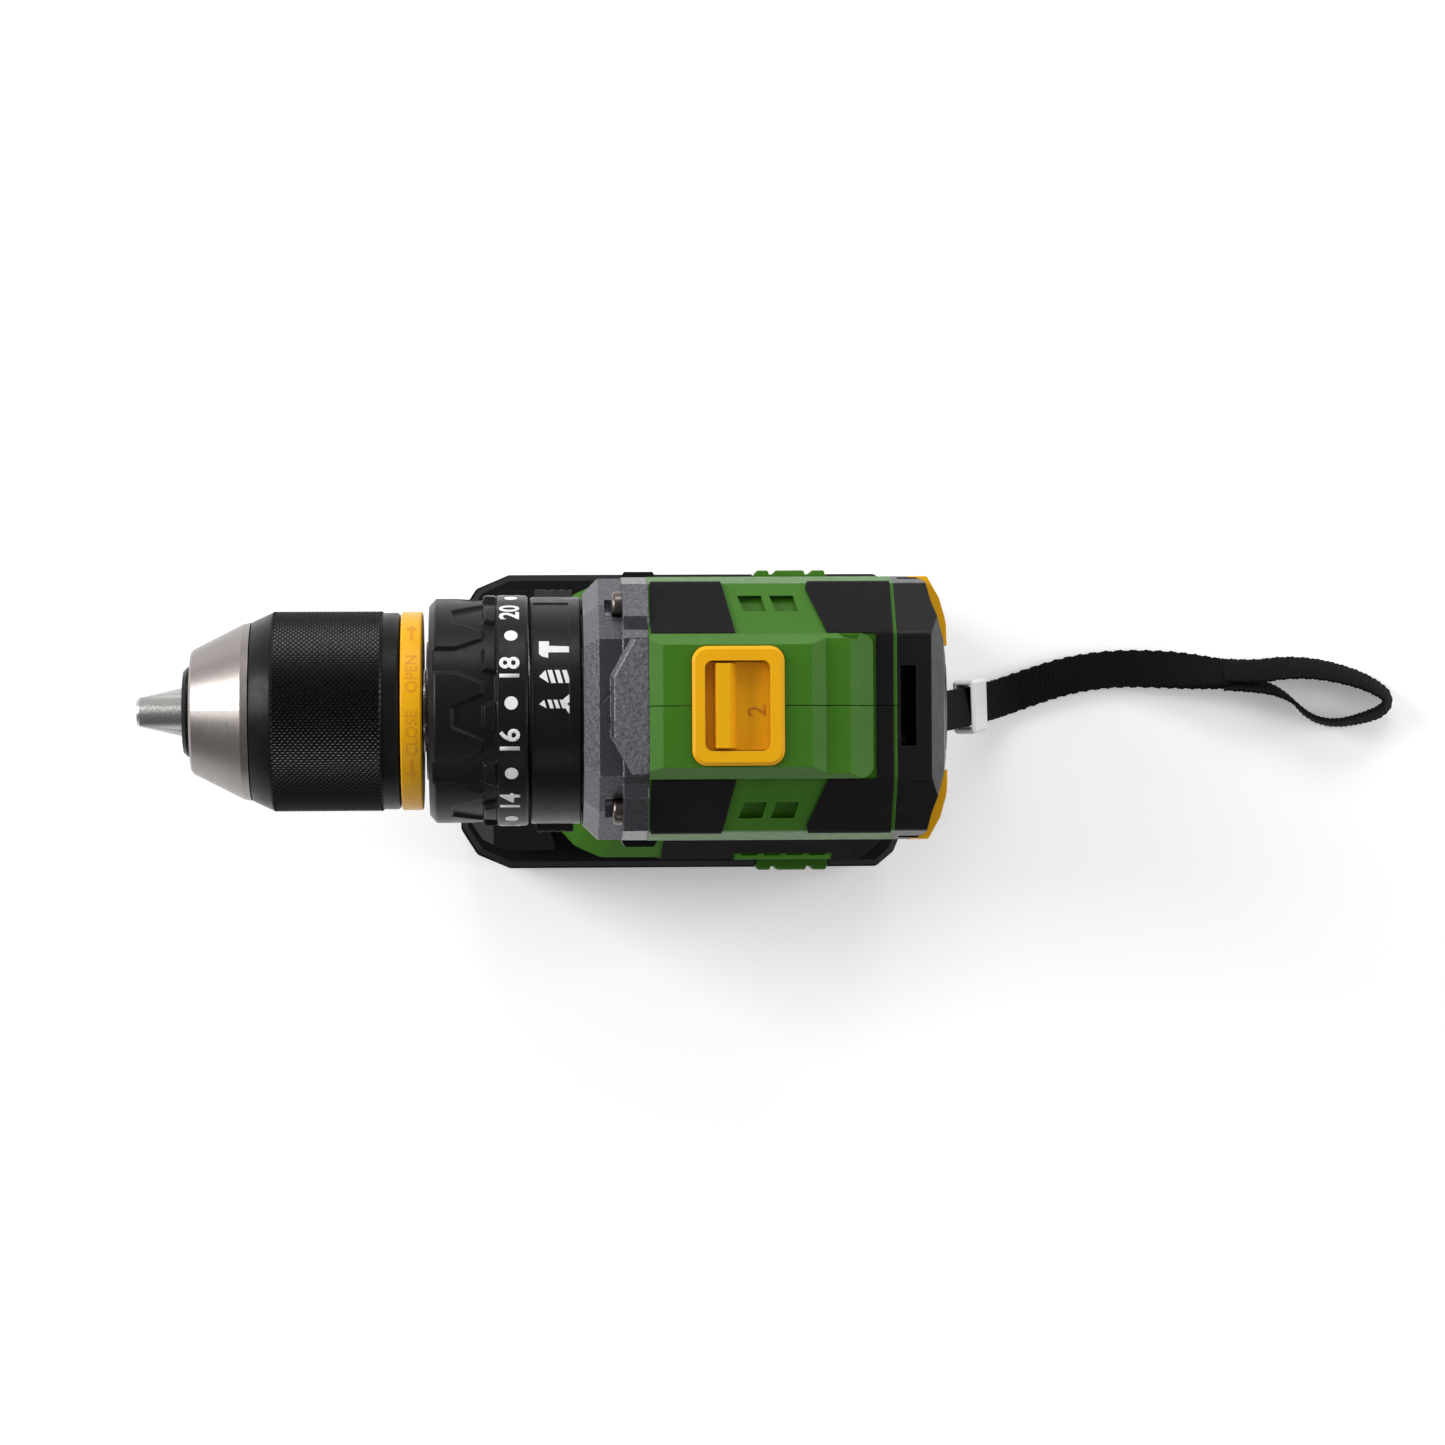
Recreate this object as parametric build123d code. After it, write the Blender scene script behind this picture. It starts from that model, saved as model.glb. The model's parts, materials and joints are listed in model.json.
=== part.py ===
"""Compact brushless hammer drill with a keyless metal chuck, a slide-on battery pack and a wrist strap.

Frame, in millimetres: the origin is the centre of the battery's underside, +Z is up,
the chuck points along -X, and +Y is the right side of someone holding the drill.
"""
from build123d import *
from math import acos, cos, pi, radians, sin, sqrt, tan
import os

# ---------------------------------------------------------------- driving dimensions
AXIS_Z = 187.0            # height of the tool axis above the surface the battery stands on

# stations along the tool axis, from the jaws to the rear cap
X_TIP = -123.2            # tips of the closed jaws
X_NOSE = -113.1           # front of the chuck body
X_CONE = -111.4           # front of the metal nose cone
X_SLEEVE = -98.3          # front of the black chuck sleeve
X_SLEEVE_END = -66.3      # rear of the chuck sleeve
X_REAR_RING = -61.4       # rear face of the yellow ring
X_TORQUE = -60.0          # front of the torque collar
X_NUMBERS = -48.3         # front of the band that carries the torque numbers
X_MODE = -38.3            # front of the mode collar
X_CASE = -27.05           # front of the metal gear case's flange
X_BODY = -13.4            # front of the green housing
X_CAP = 39.0              # joint between the housing and the rear cap
X_REAR = 51.6             # rear of the cap

# chuck
SLEEVE_R = 21.5
JAW_R = 4.0
JAW_TILT = 15.0           # degrees between a jaw and the tool axis
JAW_TIP_R = 2.9           # outer radius of the three closed jaws at their tips
JAW_LENGTH = 33.2         # measured along the tool axis
JAW_GRIP_R = 0.75         # smallest shank, 1.5 mm, is held by grooves of this radius
JAW_GRIP_LENGTH = 16.0
CHUCK_BORE_R = 6.6
SPINDLE_NOSE_R = 6.0
SPINDLE_R = 6.95
BEARING_GAP = 0.05        # radial clearance of every running fit

# collars
GRIP_COLLAR_R = 24.35
NUMBER_BAND_R = 25.0
MODE_COLLAR_R = 24.6
COLLAR_BORE_R = 21.6
PANEL_ANGLES = (-36.4, 69.0)   # the mode collar's label panel, from the top towards +Y
LAND_ANGLE = 4.7          # turns the collar's lands so that a number faces up

# gears, all of module 0.7: 15 tooth suns and planets in 45 tooth rings
MODULE = 0.7
SUN_TEETH = 15
RING_TEETH = 45
PRESSURE_ANGLE = radians(20)
ADDENDUM = 0.8 * MODULE
DEDENDUM = 1.05 * MODULE
BACKLASH = 0.09           # taken off each tooth's thickness
PLANET_ORBIT_R = MODULE * SUN_TEETH
RING_GEAR_R = 18.5
PIN_R = 1.6

# motor
STATOR_R = 24.0
ROTOR_R = 11.6
SHAFT_R = 2.5

# housing section, measured from the tool axis: (half width, height)
SECTION = [(12.0, -30.5), (23.6, -25.0), (28.3, -12.0), (28.3, 12.0), (26.4, 22.0), (15.3, 31.0)]
SPINE_W = 15.3            # half width at the foot of the raised spine
SPINE_TOP_W = 12.55       # half width of the spine's flat top
SPINE_TOP = 38.0          # height of the spine above the tool axis
MOTOR_BORE_R = 26.0
WALL = 2.6                # handle wall
SEAM = 0.08               # each housing half stops this far short of the centre plane

# foot and battery
BATTERY_X = 55.0          # half length
BATTERY_Y = 36.2          # half width
BATTERY_DECK = 50.0       # top of the lower case
FOOT_Z = 56.6             # underside of the foot
FOOT_TOP = 72.0
CELL_R = 9.1              # 18 mm cells with their sleeves
CELL_LENGTH = 65.0
CELL_PITCH = 18.8         # between the axes of neighbouring cells
CELL_MIDDLE_X = 0.9       # axis of the middle column of cells
PACK_WALL = 2.0           # wall of the lower case

# screws: the same 3 mm screw holds the gear case, the rear cap and the housing halves
SCREW_R = 1.5
SCREW_HEAD_R = 3.0
SCREW_HEAD_T = 2.2
CASE_SCREWS = [(21.8, 21.0), (-21.8, 21.0), (20.5, -20.5), (-20.5, -20.5)]   # y and height from the axis
CAP_SCREWS = [(21.4, 18.5), (-21.4, 18.5), (20.0, -19.5), (-20.0, -19.5)]
HOUSING_SCREWS = [(31.0, 139.0), (24.0, 114.0), (14.0, 84.0), (33.0, 161.5)]  # x and z

# trigger
TRIGGER_Z = (127.0, 149.2)   # bottom and top of the trigger
SWITCH_X = 9.8            # front of the switch; the trigger stops just short of it

# wrist strap
STRAP_W = 10.0
STRAP_T = 1.2             # one layer of webbing
STRAP_ROUTE = [
    (49.5, -1.0, 66.0),
    (56.5, 0.4, 65.2),
    (62.3, 1.56, 59.0),
    (65.6, 2.22, 48.0),
    (68.4, 2.78, 35.4),
    (72.0, 3.5, 23.0),
    (77.0, 4.5, 11.6),
    (84.4, 5.98, 1.3),
    (93.5, 7.8, 1.3),
    (102.5, 11.5, 1.3),
    (113.5, 13.9, 1.3),
    (126.0, 13.6, 1.3),
    (141.4, 12.1, 1.3),
]
LOOP_ROUTE = [
    (141.4, 13.2, 5.1),
    (149.5, 12.7, 5.1),
    (157.0, 13.8, 5.1),
    (165.0, 13.6, 5.1),
    (173.0, 11.9, 5.1),
    (179.6, 9.5, 5.1),
    (184.6, 6.2, 5.1),
    (183.4, 2.7, 5.1),
    (177.6, 0.6, 5.1),
    (170.2, -0.8, 5.1),
    (163.6, 0.9, 5.1),
    (158.4, 6.4, 5.1),
    (151.0, 9.4, 5.1),
    (141.4, 10.8, 5.1),
]


# ---------------------------------------------------------------- helpers
def rod(x0, x1, r, y=0.0, z=0.0):
    """Cylinder along the tool axis; y and z are measured from that axis."""
    return Pos((x0 + x1) / 2, y, AXIS_Z + z) * Rot(0, 90, 0) * Cylinder(r, x1 - x0)


def ring(x0, x1, r_out, r_in):
    """Plain ring round the tool axis."""
    return rod(x0, x1, r_out) - rod(x0 - 1, x1 + 1, r_in)


def turned(points):
    """Solid of revolution round the tool axis from (x, radius) points."""
    plane = Plane(origin=(0, 0, AXIS_Z), x_dir=(1, 0, 0), z_dir=(0, -1, 0))
    face = make_face(Polyline(*points, close=True))
    return revolve(plane * face, Axis((0, 0, AXIS_Z), (1, 0, 0)), 360)


def closed_face(points, rounding=0.0):
    face = make_face(Polyline(*points, close=True))
    return fillet(face.vertices(), rounding) if rounding else face


def prism_x(points, x0, x1, rounding=0.0):
    """Extrude an outline of (y, height above the tool axis) points along X."""
    plane = Plane(origin=(x0, 0, AXIS_Z), x_dir=(0, 1, 0), z_dir=(1, 0, 0))
    return extrude(plane * closed_face(points, rounding), x1 - x0)


def prism_y(points, y0, y1, rounding=0.0):
    """Extrude an outline of (x, z) points along Y."""
    plane = Plane(origin=(0, y1, 0), x_dir=(1, 0, 0), z_dir=(0, -1, 0))
    return extrude(plane * closed_face(points, rounding), y1 - y0)


def prism_z(points, z0, z1, rounding=0.0):
    """Extrude an outline of (x, y) points upwards."""
    return extrude(Plane.XY.offset(z0) * closed_face(points, rounding), z1 - z0)


def block(x0, x1, y0, y1, z0, z1):
    """Box by its limits; z is measured from the surface the drill stands on."""
    centre = Pos((x0 + x1) / 2, (y0 + y1) / 2, (z0 + z1) / 2)
    return centre * Box(x1 - x0, y1 - y0, z1 - z0)


def rod_y(y0, y1, r, x, z):
    """Cylinder across the drill."""
    return Pos(x, (y0 + y1) / 2, z) * Rot(90, 0, 0) * Cylinder(r, y1 - y0)


def about_axis(shape, angle):
    """Turn a shape round the tool axis by an angle in degrees."""
    return Pos(0, 0, AXIS_Z) * Rot(angle, 0, 0) * Pos(0, 0, -AXIS_Z) * shape


def mirrored(points):
    """Close a half outline, given with positive first numbers, over the centre line."""
    return points + [(-a, b) for a, b in reversed(points)]


def flipped(shape):
    """The same shape on the other side of the drill's centre plane."""
    return mirror(shape, about=Plane.XZ)


def join(shapes):
    """Fuse a list of shapes."""
    total = shapes[0]
    for shape in shapes[1:]:
        total = total + shape
    return total


def group(shapes):
    """Keep separate solids together as one node."""
    solids = []
    for shape in shapes:
        solids.extend(shape.solids())
    return Compound(children=solids)


# ---------------------------------------------------------------- gears
def involute_angle(a):
    return tan(a) - a


def gear_points(teeth, addendum, dedendum, backlash):
    """Outline of an involute gear with one tooth centred on local +X."""
    pitch_r = MODULE * teeth / 2
    base_r = pitch_r * cos(PRESSURE_ANGLE)
    root_r = pitch_r - dedendum
    tip_r = pitch_r + addendum
    start_r = max(base_r, root_r)
    half_at_pitch = pi / (2 * teeth) - backlash / (2 * pitch_r)

    def half_angle(r):
        return half_at_pitch + involute_angle(PRESSURE_ANGLE) - involute_angle(acos(base_r / r))

    flank = [start_r + (tip_r - start_r) * k / 4 for k in range(5)]
    half_tooth = [(root_r, half_angle(start_r))] if root_r < start_r else []
    half_tooth += [(r, half_angle(r)) for r in flank]
    points = []
    for tooth in range(teeth):
        middle = 2 * pi * tooth / teeth
        for r, a in half_tooth:
            points.append((r * cos(middle - a), r * sin(middle - a)))
        for r, a in reversed(half_tooth):
            points.append((r * cos(middle + a), r * sin(middle + a)))
    return points


def gear(teeth, x0, x1, y=0.0, z=0.0, roll=0.0):
    """External gear along the tool axis, with a tooth pointing up before it is rolled."""
    plane = Plane(origin=(x0, y, AXIS_Z + z), x_dir=(0, 0, 1), z_dir=(1, 0, 0))
    face = make_face(Polyline(*gear_points(teeth, ADDENDUM, DEDENDUM, BACKLASH), close=True))
    return extrude(plane * (Rot(0, 0, roll) * face), x1 - x0)


def ring_gear(x0, x1, r_out):
    """Internal gear with a tooth space pointing up."""
    plane = Plane(origin=(x0, 0, AXIS_Z), x_dir=(0, 0, 1), z_dir=(1, 0, 0))
    spaces = gear_points(RING_TEETH, DEDENDUM, ADDENDUM, -BACKLASH)
    face = Circle(r_out) - make_face(Polyline(*spaces, close=True))
    return extrude(plane * face, x1 - x0)


def planet(number, x0, x1):
    """One of three planets; each points a tooth outwards and turns on a carrier pin."""
    wheel = gear(SUN_TEETH, x0, x1, z=PLANET_ORBIT_R) - rod(x0 - 1, x1 + 1, PIN_R + BEARING_GAP, z=PLANET_ORBIT_R)
    return about_axis(wheel, 120 * number)


def carrier(x_plate0, x_plate1, x_pins, plate_r):
    """Round plate with three pins for the planets, which stand towards the motor."""
    parts = [rod(x_plate0, x_plate1, plate_r)]
    for number in range(3):
        parts.append(about_axis(rod(x_plate1 - 0.5, x_pins, PIN_R, z=PLANET_ORBIT_R), 120 * number))
    return join(parts)


# gear train stations, from the chuck towards the motor
X_OUT_PLATE = -30.1
X_OUT_GEARS = -27.3
X_MID_PLATE = -21.3
X_MID_GEARS = -19.1
X_SHIFT_RING = -20.9
SHIFT_RING_WIDTH = 4.0
X_FIRST_PLATE = -14.2
X_FIRST_GEARS = -11.9
X_GEARS_END = -7.2


# ---------------------------------------------------------------- chuck
def jaw_axis_radius(x):
    """Distance of a jaw's centre line from the tool axis at a station."""
    tilt = radians(JAW_TILT)
    return JAW_TIP_R - JAW_R / cos(tilt) + (x - X_TIP) * tan(tilt)


def jaw_cylinder(x0, x1, r):
    """Cylinder along a jaw's sloping line, in the upward position."""
    middle = (x0 + x1) / 2
    length = (x1 - x0) / cos(radians(JAW_TILT))
    place = Pos(middle, 0, AXIS_Z + jaw_axis_radius(middle)) * Rot(0, 90 - JAW_TILT, 0)
    return place * Cylinder(r, length)


def chuck_jaw(number):
    """Round jaw with a 120 degree grip edge, a grip groove and the thread teeth on its back."""
    far = 40.0
    side = 0.03
    wedge = prism_x([(0, side), (far * sin(radians(60)), far / 2 + side), (far, far), (-far, far),
                     (-far * sin(radians(60)), far / 2 + side)], X_TIP, X_TIP + 45)
    tail = block(X_TIP, X_TIP + JAW_LENGTH, -far, far, AXIS_Z - far, AXIS_Z + far)
    shape = jaw_cylinder(X_TIP - 10, X_TIP + 45, JAW_R) & wedge & tail
    shape = shape - rod(X_TIP - 1, X_TIP + JAW_GRIP_LENGTH, JAW_GRIP_R)
    shape = shape - rod(X_TIP + JAW_GRIP_LENGTH, X_TIP + JAW_LENGTH + 1, 3.2)
    shape = shape - turned([(X_TIP - 1, 2.2), (X_TIP + 0.6, JAW_TIP_R + 0.2), (X_TIP + 0.6, 9), (X_TIP - 1, 9)])
    for tooth in range(12):
        x = X_TIP + JAW_LENGTH - 2.0 - 1.4 * tooth
        outer = jaw_axis_radius(x) + JAW_R / cos(radians(JAW_TILT))
        groove = Pos(x, 0, AXIS_Z + outer) * Rot(0, -JAW_TILT, 0) * Box(0.7, 12, 0.9)
        shape = shape - groove
    return about_axis(shape, 120 * number)


def chuck_body():
    """Steel core: nose ring, guide land, nut groove, bearing flange and rear hub."""
    core = turned([
        (X_NOSE, 0), (X_NOSE, 8.9), (X_NOSE + 0.8, 9.7), (X_CONE + 7.0, 9.7), (X_CONE + 7.0, 15.0),
        (-98.0, 15.0), (-98.0, 8.9), (-92.2, 8.9), (-92.2, 11.8), (-90.3, 11.8), (-90.3, 18.15), (-87.0, 18.15),
        (-87.0, 15.8), (X_REAR_RING, 15.8), (X_REAR_RING, 0),
    ])
    core = core - rod(X_NOSE - 1, -83.5, CHUCK_BORE_R)
    core = core - rod(-78.0, X_REAR_RING + 1, SPINDLE_NOSE_R + 0.05)
    guide = jaw_cylinder(X_NOSE - 8, -67.6, JAW_R + BEARING_GAP)
    for number in range(3):
        core = core - about_axis(guide, 120 * number)
    return core


def chuck_nose_cone():
    """Satin metal cone in front of the sleeve."""
    return turned([
        (X_CONE, 9.75), (X_CONE, 12.9), (X_CONE + 0.5, 13.5), (-100.1, 19.0), (-98.5, 19.3), (-98.5, 15.05),
        (X_CONE + 6.9, 15.05), (X_CONE + 6.9, 9.75),
    ])


def chuck_sleeve():
    """Black steel sleeve that the user turns: a front taper, a knurled band and a smooth rear band."""
    return turned([
        (X_SLEEVE, 15.4), (X_SLEEVE, 19.4), (-93.9, SLEEVE_R), (X_SLEEVE_END - 0.4, SLEEVE_R),
        (X_SLEEVE_END, SLEEVE_R - 0.4), (X_SLEEVE_END, 18.2), (-92.4, 18.2), (-92.4, 17.6), (-97.6, 17.6),
        (-97.6, 15.4),
    ])


def chuck_nut():
    """Split nut pressed into the sleeve; its cone follows the backs of the jaws."""
    def inner(x):
        return jaw_axis_radius(x) + JAW_R / cos(radians(JAW_TILT)) + 0.15
    return turned([(-97.5, inner(-97.5)), (-97.5, 17.55), (-92.5, 17.55), (-92.5, inner(-92.5))])


def chuck_thrust_bearing():
    """Balls and race that let the nut turn against the flange while it pulls the jaws."""
    race = ring(-91.0, -90.4, 17.2, 12.4)
    balls = []
    count = 24
    for number in range(count):
        ball = Pos(-91.75, 0, AXIS_Z + 14.8) * Sphere(0.72)
        balls.append(about_axis(ball, 360 * number / count))
    return group([race] + balls)


def chuck_rear_ring():
    """Yellow ring behind the sleeve."""
    return turned([
        (X_SLEEVE_END + 0.3, 15.85), (X_SLEEVE_END + 0.3, SLEEVE_R - 0.3), (X_SLEEVE_END + 0.6, SLEEVE_R),
        (X_REAR_RING - 0.3, SLEEVE_R), (X_REAR_RING, SLEEVE_R - 0.3), (X_REAR_RING, 15.85),
    ])


# ---------------------------------------------------------------- spindle, hammer and clutch
def output_spindle():
    """Spindle from the output carrier to the chuck thread."""
    return turned([
        (-77.4, 0), (-77.4, SPINDLE_NOSE_R - 0.6), (-76.8, SPINDLE_NOSE_R), (X_REAR_RING + 0.1, SPINDLE_NOSE_R),
        (X_REAR_RING + 0.1, 9.0), (-60.9, 9.0), (-60.9, SPINDLE_R), (X_OUT_PLATE, SPINDLE_R), (X_OUT_PLATE, 0),
    ])


def ratchet(x_back, x_face, r_in, r_out, direction):
    """Hammer ratchet: a ring with a crown of sloping teeth on one face."""
    teeth = 16
    low, high = min(x_back, x_face), max(x_back, x_face)
    body = ring(low, high, r_out, r_in)
    tooth_r = (r_in + r_out) / 2 + 0.4
    for number in range(teeth):
        x_mid = x_face + direction * 0.45
        tooth = Pos(x_mid, 0, AXIS_Z + tooth_r) * Box(0.9, 1.7, r_out - r_in - 1.2)
        body = body + about_axis(tooth, 360 * number / teeth)
    return body


def hammer_ratchet_rotating():
    return ratchet(-50.5, -47.9, SPINDLE_R + 0.02, 11.5, 1)


def hammer_ratchet_fixed():
    return ratchet(-42.4, -45.4, SPINDLE_R + 0.7, 12.95, -1)


def ball_bearings():
    """Closed ball bearings: two in the gear case's nose for the spindle, two for the rotor."""
    return group([
        ring(-58.6, -53.6, 12.95, SPINDLE_R + BEARING_GAP),
        ring(-38.0, -33.0, 12.95, SPINDLE_R + BEARING_GAP),
        ring(-4.0, 0.9, 7.95, SHAFT_R + BEARING_GAP),
        ring(41.6, 46.4, 7.95, SHAFT_R + BEARING_GAP),
    ])


def clutch_spring():
    """Coil spring of the torque clutch, round the gear case's nose."""
    turns_pitch = 2.75
    path = Helix(pitch=turns_pitch, height=11.6, radius=18.0)
    wire = sweep(Plane(origin=path @ 0, z_dir=path % 0) * Circle(1.05), path=path, is_frenet=True)
    return Pos(-45.2, 0, AXIS_Z) * Rot(0, 90, 0) * wire


def clutch_nut():
    """Ring that the torque collar screws along the nose to load the spring."""
    nut = ring(-50.0, -46.6, COLLAR_BORE_R - 0.4, 15.35)
    for angle in (0, 120, 240):
        nut = nut - about_axis(block(-51, -46, -1.5, 1.5, AXIS_Z + 20.2, AXIS_Z + 22), angle)
    return nut


def torque_collar():
    """Collar that sets the clutch: a grip section and the band that carries the numbers."""
    shell = turned([
        (X_TORQUE, 15.3), (X_TORQUE, GRIP_COLLAR_R - 1.6), (X_TORQUE + 1.4, GRIP_COLLAR_R - 0.2),
        (X_NUMBERS - 0.6, GRIP_COLLAR_R - 0.2), (X_NUMBERS, NUMBER_BAND_R), (X_MODE - 0.9, NUMBER_BAND_R),
        (X_MODE - 0.5, NUMBER_BAND_R - 0.4), (X_MODE - 0.5, COLLAR_BORE_R), (X_TORQUE + 2.4, COLLAR_BORE_R),
        (X_TORQUE + 2.4, 15.3),
    ])
    lands = 6
    for number in range(lands):
        gap = block(X_TORQUE - 1, X_NUMBERS - 0.8, -2.7, 2.7, AXIS_Z + GRIP_COLLAR_R - 0.9, AXIS_Z + 30)
        valley = block(-54.6, X_NUMBERS - 0.8, -2.2, 2.2, AXIS_Z + GRIP_COLLAR_R - 0.9, AXIS_Z + 30)
        shell = shell - about_axis(gap, 360 * (number + 0.5) / lands + LAND_ANGLE)
        shell = shell - about_axis(valley, 360 * number / lands + LAND_ANGLE)
    return shell


def mode_collar():
    """Collar that chooses screwing, drilling or hammer drilling, with two ribbed grip tabs."""
    shell = turned([
        (X_MODE, COLLAR_BORE_R), (X_MODE, MODE_COLLAR_R - 0.4), (X_MODE + 0.4, MODE_COLLAR_R),
        (X_CASE - 0.7, MODE_COLLAR_R), (X_CASE - 0.3, MODE_COLLAR_R - 0.4), (X_CASE - 0.3, COLLAR_BORE_R),
    ])
    tab = prism_x([(-3.6, 23.5), (-2.4, 26.8), (2.4, 26.8), (3.6, 23.5)], X_MODE + 1.2, X_CASE - 2.0, 0.6)
    for slot in range(4):
        x = X_MODE + 2.6 + 2.0 * slot
        tab = tab - (Pos(x, 0, AXIS_Z + 26.9) * Rot(0, 0, 35) * Box(0.8, 12, 1.2))
    for angle in (105, -105):
        shell = shell + about_axis(tab, angle)
    panel = ring(X_MODE + 0.6, X_CASE - 3.0, 30.0, MODE_COLLAR_R - 0.25)
    far = 40.0
    corners = [(0, 0)]
    for angle in (PANEL_ANGLES[0], sum(PANEL_ANGLES) / 2, PANEL_ANGLES[1]):
        corners.append((far * sin(radians(angle)), far * cos(radians(angle))))
    return shell - (panel & prism_x(corners, X_MODE, X_CASE))


# ---------------------------------------------------------------- gear case and gears
def case_section(grow=0.0):
    """Octagonal outline of the gear case's flange, widened by a margin."""
    half = [(13.0, -30.5), (24.0, -25.0), (28.2, -12.0), (28.2, 12.5), (26.0, 22.4), (14.6, 31.3)]
    return mirrored([(y + grow, z + grow * (1 if z > 0 else -1)) for y, z in half])


def gear_case():
    """Cast metal case: a nose tube for the spindle, a drum, a faceted flange and a rear cup."""
    nose = turned([(-60.6, 13.0), (-60.6, 15.0), (-32.4, 15.0), (-32.4, 20.6), (X_CASE, 20.6), (X_CASE, 13.0)])
    low = [(12.0, -28.5), (21.0, -23.0), (28.1, -9.5), (28.1, 9.5), (22.0, 20.0), (14.6, 28.8)]
    flange = prism_x(mirrored(low), X_CASE, X_BODY)
    front = flange.faces().sort_by(Axis.X)[0]
    flange = chamfer(front.edges(), 3.2)
    flange = flange + prism_x(case_section(), -18.8, X_BODY)
    plan = [(X_BODY, 14.3), (-17.1, 14.2), (-21.4, 6.6), (-21.4, -6.6), (-17.1, -14.2), (X_BODY, -14.3)]
    platform = prism_z(plan, AXIS_Z + 24.0, AXIS_Z + 38.0)
    ramp = [(-30, AXIS_Z), (-30, AXIS_Z + 29.4), (-21.4, AXIS_Z + 31.6), (X_BODY, AXIS_Z + 34.8), (X_BODY, AXIS_Z)]
    platform = platform & prism_y(ramp, -20, 20)
    platform = chamfer(platform.faces().sort_by(Axis.Z)[-1].edges().sort_by(Axis.X)[:3], 0.8)
    shape = nose + flange + platform
    for side in (-1, 1):
        crease = Pos(-22.7, side * 1.7, AXIS_Z + 28.9) * Rot(0, 0, side * 48) * Box(4.6, 0.3, 0.5)
        shape = shape - crease
    for side in (-1, 1):
        ear = block(-18.8, X_BODY, side * 20.2 - 6.0, side * 20.2 + 6.0, AXIS_Z + 18.0, AXIS_Z + 30.0)
        ear = ear & prism_x(case_section(1.3), -19.0, X_BODY)
        shape = shape + ear
    cup = rod(X_BODY - 1, -4.2, 21.5)
    shape = shape + cup
    cavity = turned([(X_OUT_PLATE - 0.3, 0), (X_OUT_PLATE - 0.3, RING_GEAR_R + 0.05),
                     (-3.0, RING_GEAR_R + 0.05), (-3.0, 0)])
    shape = shape - cavity - rod(-61, -30, 13.0)
    shape = shape - block(-20.6, -11.8, -6.4, 6.4, AXIS_Z + 16, AXIS_Z + 26.2)
    shape = shape - block(-14.4, -2, -6.4, 6.4, AXIS_Z + 21, AXIS_Z + 26.2)
    for y, z in CASE_SCREWS:
        shape = shape - rod(-22.5, -18.8, 3.4, y, z) - rod(-20, X_BODY + 1, SCREW_R + 0.05, y, z)
    return shape


def gearbox_cover():
    """Plate that closes the gear case and carries the motor's front bearing."""
    plate = ring(-6.6, -4.25, RING_GEAR_R - 0.05, 5.0)
    seat = ring(-4.25, 1.0, 10.0, 8.0)
    return plate + (ring(-5.0, -4.25, 10.0, 8.0) + seat)


def shift_ring():
    """Sliding ring gear that locks or frees the middle stage, with a groove for the fork."""
    x1 = X_SHIFT_RING + SHIFT_RING_WIDTH
    body = ring_gear(X_SHIFT_RING, x1, RING_GEAR_R - 0.35)
    return body - ring(X_SHIFT_RING + 1.3, x1 - 1.3, RING_GEAR_R + 1, RING_GEAR_R - 1.25)


def fixed_ring_gears():
    """Ring gears of the output stage and of the first stage, held in the gear case."""
    return group([ring_gear(X_OUT_GEARS, -21.7, RING_GEAR_R), ring_gear(-12.0, X_GEARS_END + 0.2, RING_GEAR_R)])


def output_carrier():
    return carrier(X_OUT_PLATE, -27.7, -22.0, 14.3)


def middle_carrier():
    """Carrier of the middle stage, with the sun gear that drives the output stage."""
    return carrier(X_MID_PLATE, -19.4, -14.7, 14.6) + gear(SUN_TEETH, -27.3, X_MID_PLATE + 0.2)


def first_carrier():
    """Carrier of the first stage, with the sun gear of the middle stage."""
    return carrier(X_FIRST_PLATE, -12.3, X_GEARS_END, 14.6) + gear(SUN_TEETH, -19.0, X_FIRST_PLATE + 0.2)


def middle_planets():
    """The three planets of the middle stage, locked together in the high speed."""
    return group([planet(number, X_MID_GEARS, -14.6) for number in range(3)])


# ---------------------------------------------------------------- motor
def rotor_shaft():
    """Shaft with the motor pinion cut on its front end."""
    shaft = turned([(-12.0, 0), (-12.0, 2.2), (-6.9, 2.2), (-6.9, SHAFT_R), (46.4, SHAFT_R), (46.4, 0)])
    return shaft + gear(SUN_TEETH, -11.9, -7.0)


def rotor_core():
    """Laminated rotor with four magnets in its slots."""
    core = ring(6.0, 30.0, ROTOR_R, SHAFT_R + 0.02)
    magnets = []
    for angle in range(45, 360, 90):
        core = core - about_axis(block(5, 31, -6.4, 6.4, AXIS_Z + 7.4, AXIS_Z + 9.2), angle)
        magnets.append(about_axis(block(6.5, 29.5, -6.2, 6.2, AXIS_Z + 7.5, AXIS_Z + 9.1), angle))
    return group([core] + magnets)


def stator_core():
    """Six-slot laminated stator."""
    core = ring(6.0, 30.0, STATOR_R, 12.2)
    for number in range(6):
        slot = block(5, 31, -4.8, 4.8, AXIS_Z + 13.8, AXIS_Z + 20.2)
        gap = block(5, 31, -0.9, 0.9, AXIS_Z + 11, AXIS_Z + 14)
        core = core - about_axis(slot + gap, 60 * number + 30)
    return core


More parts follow.
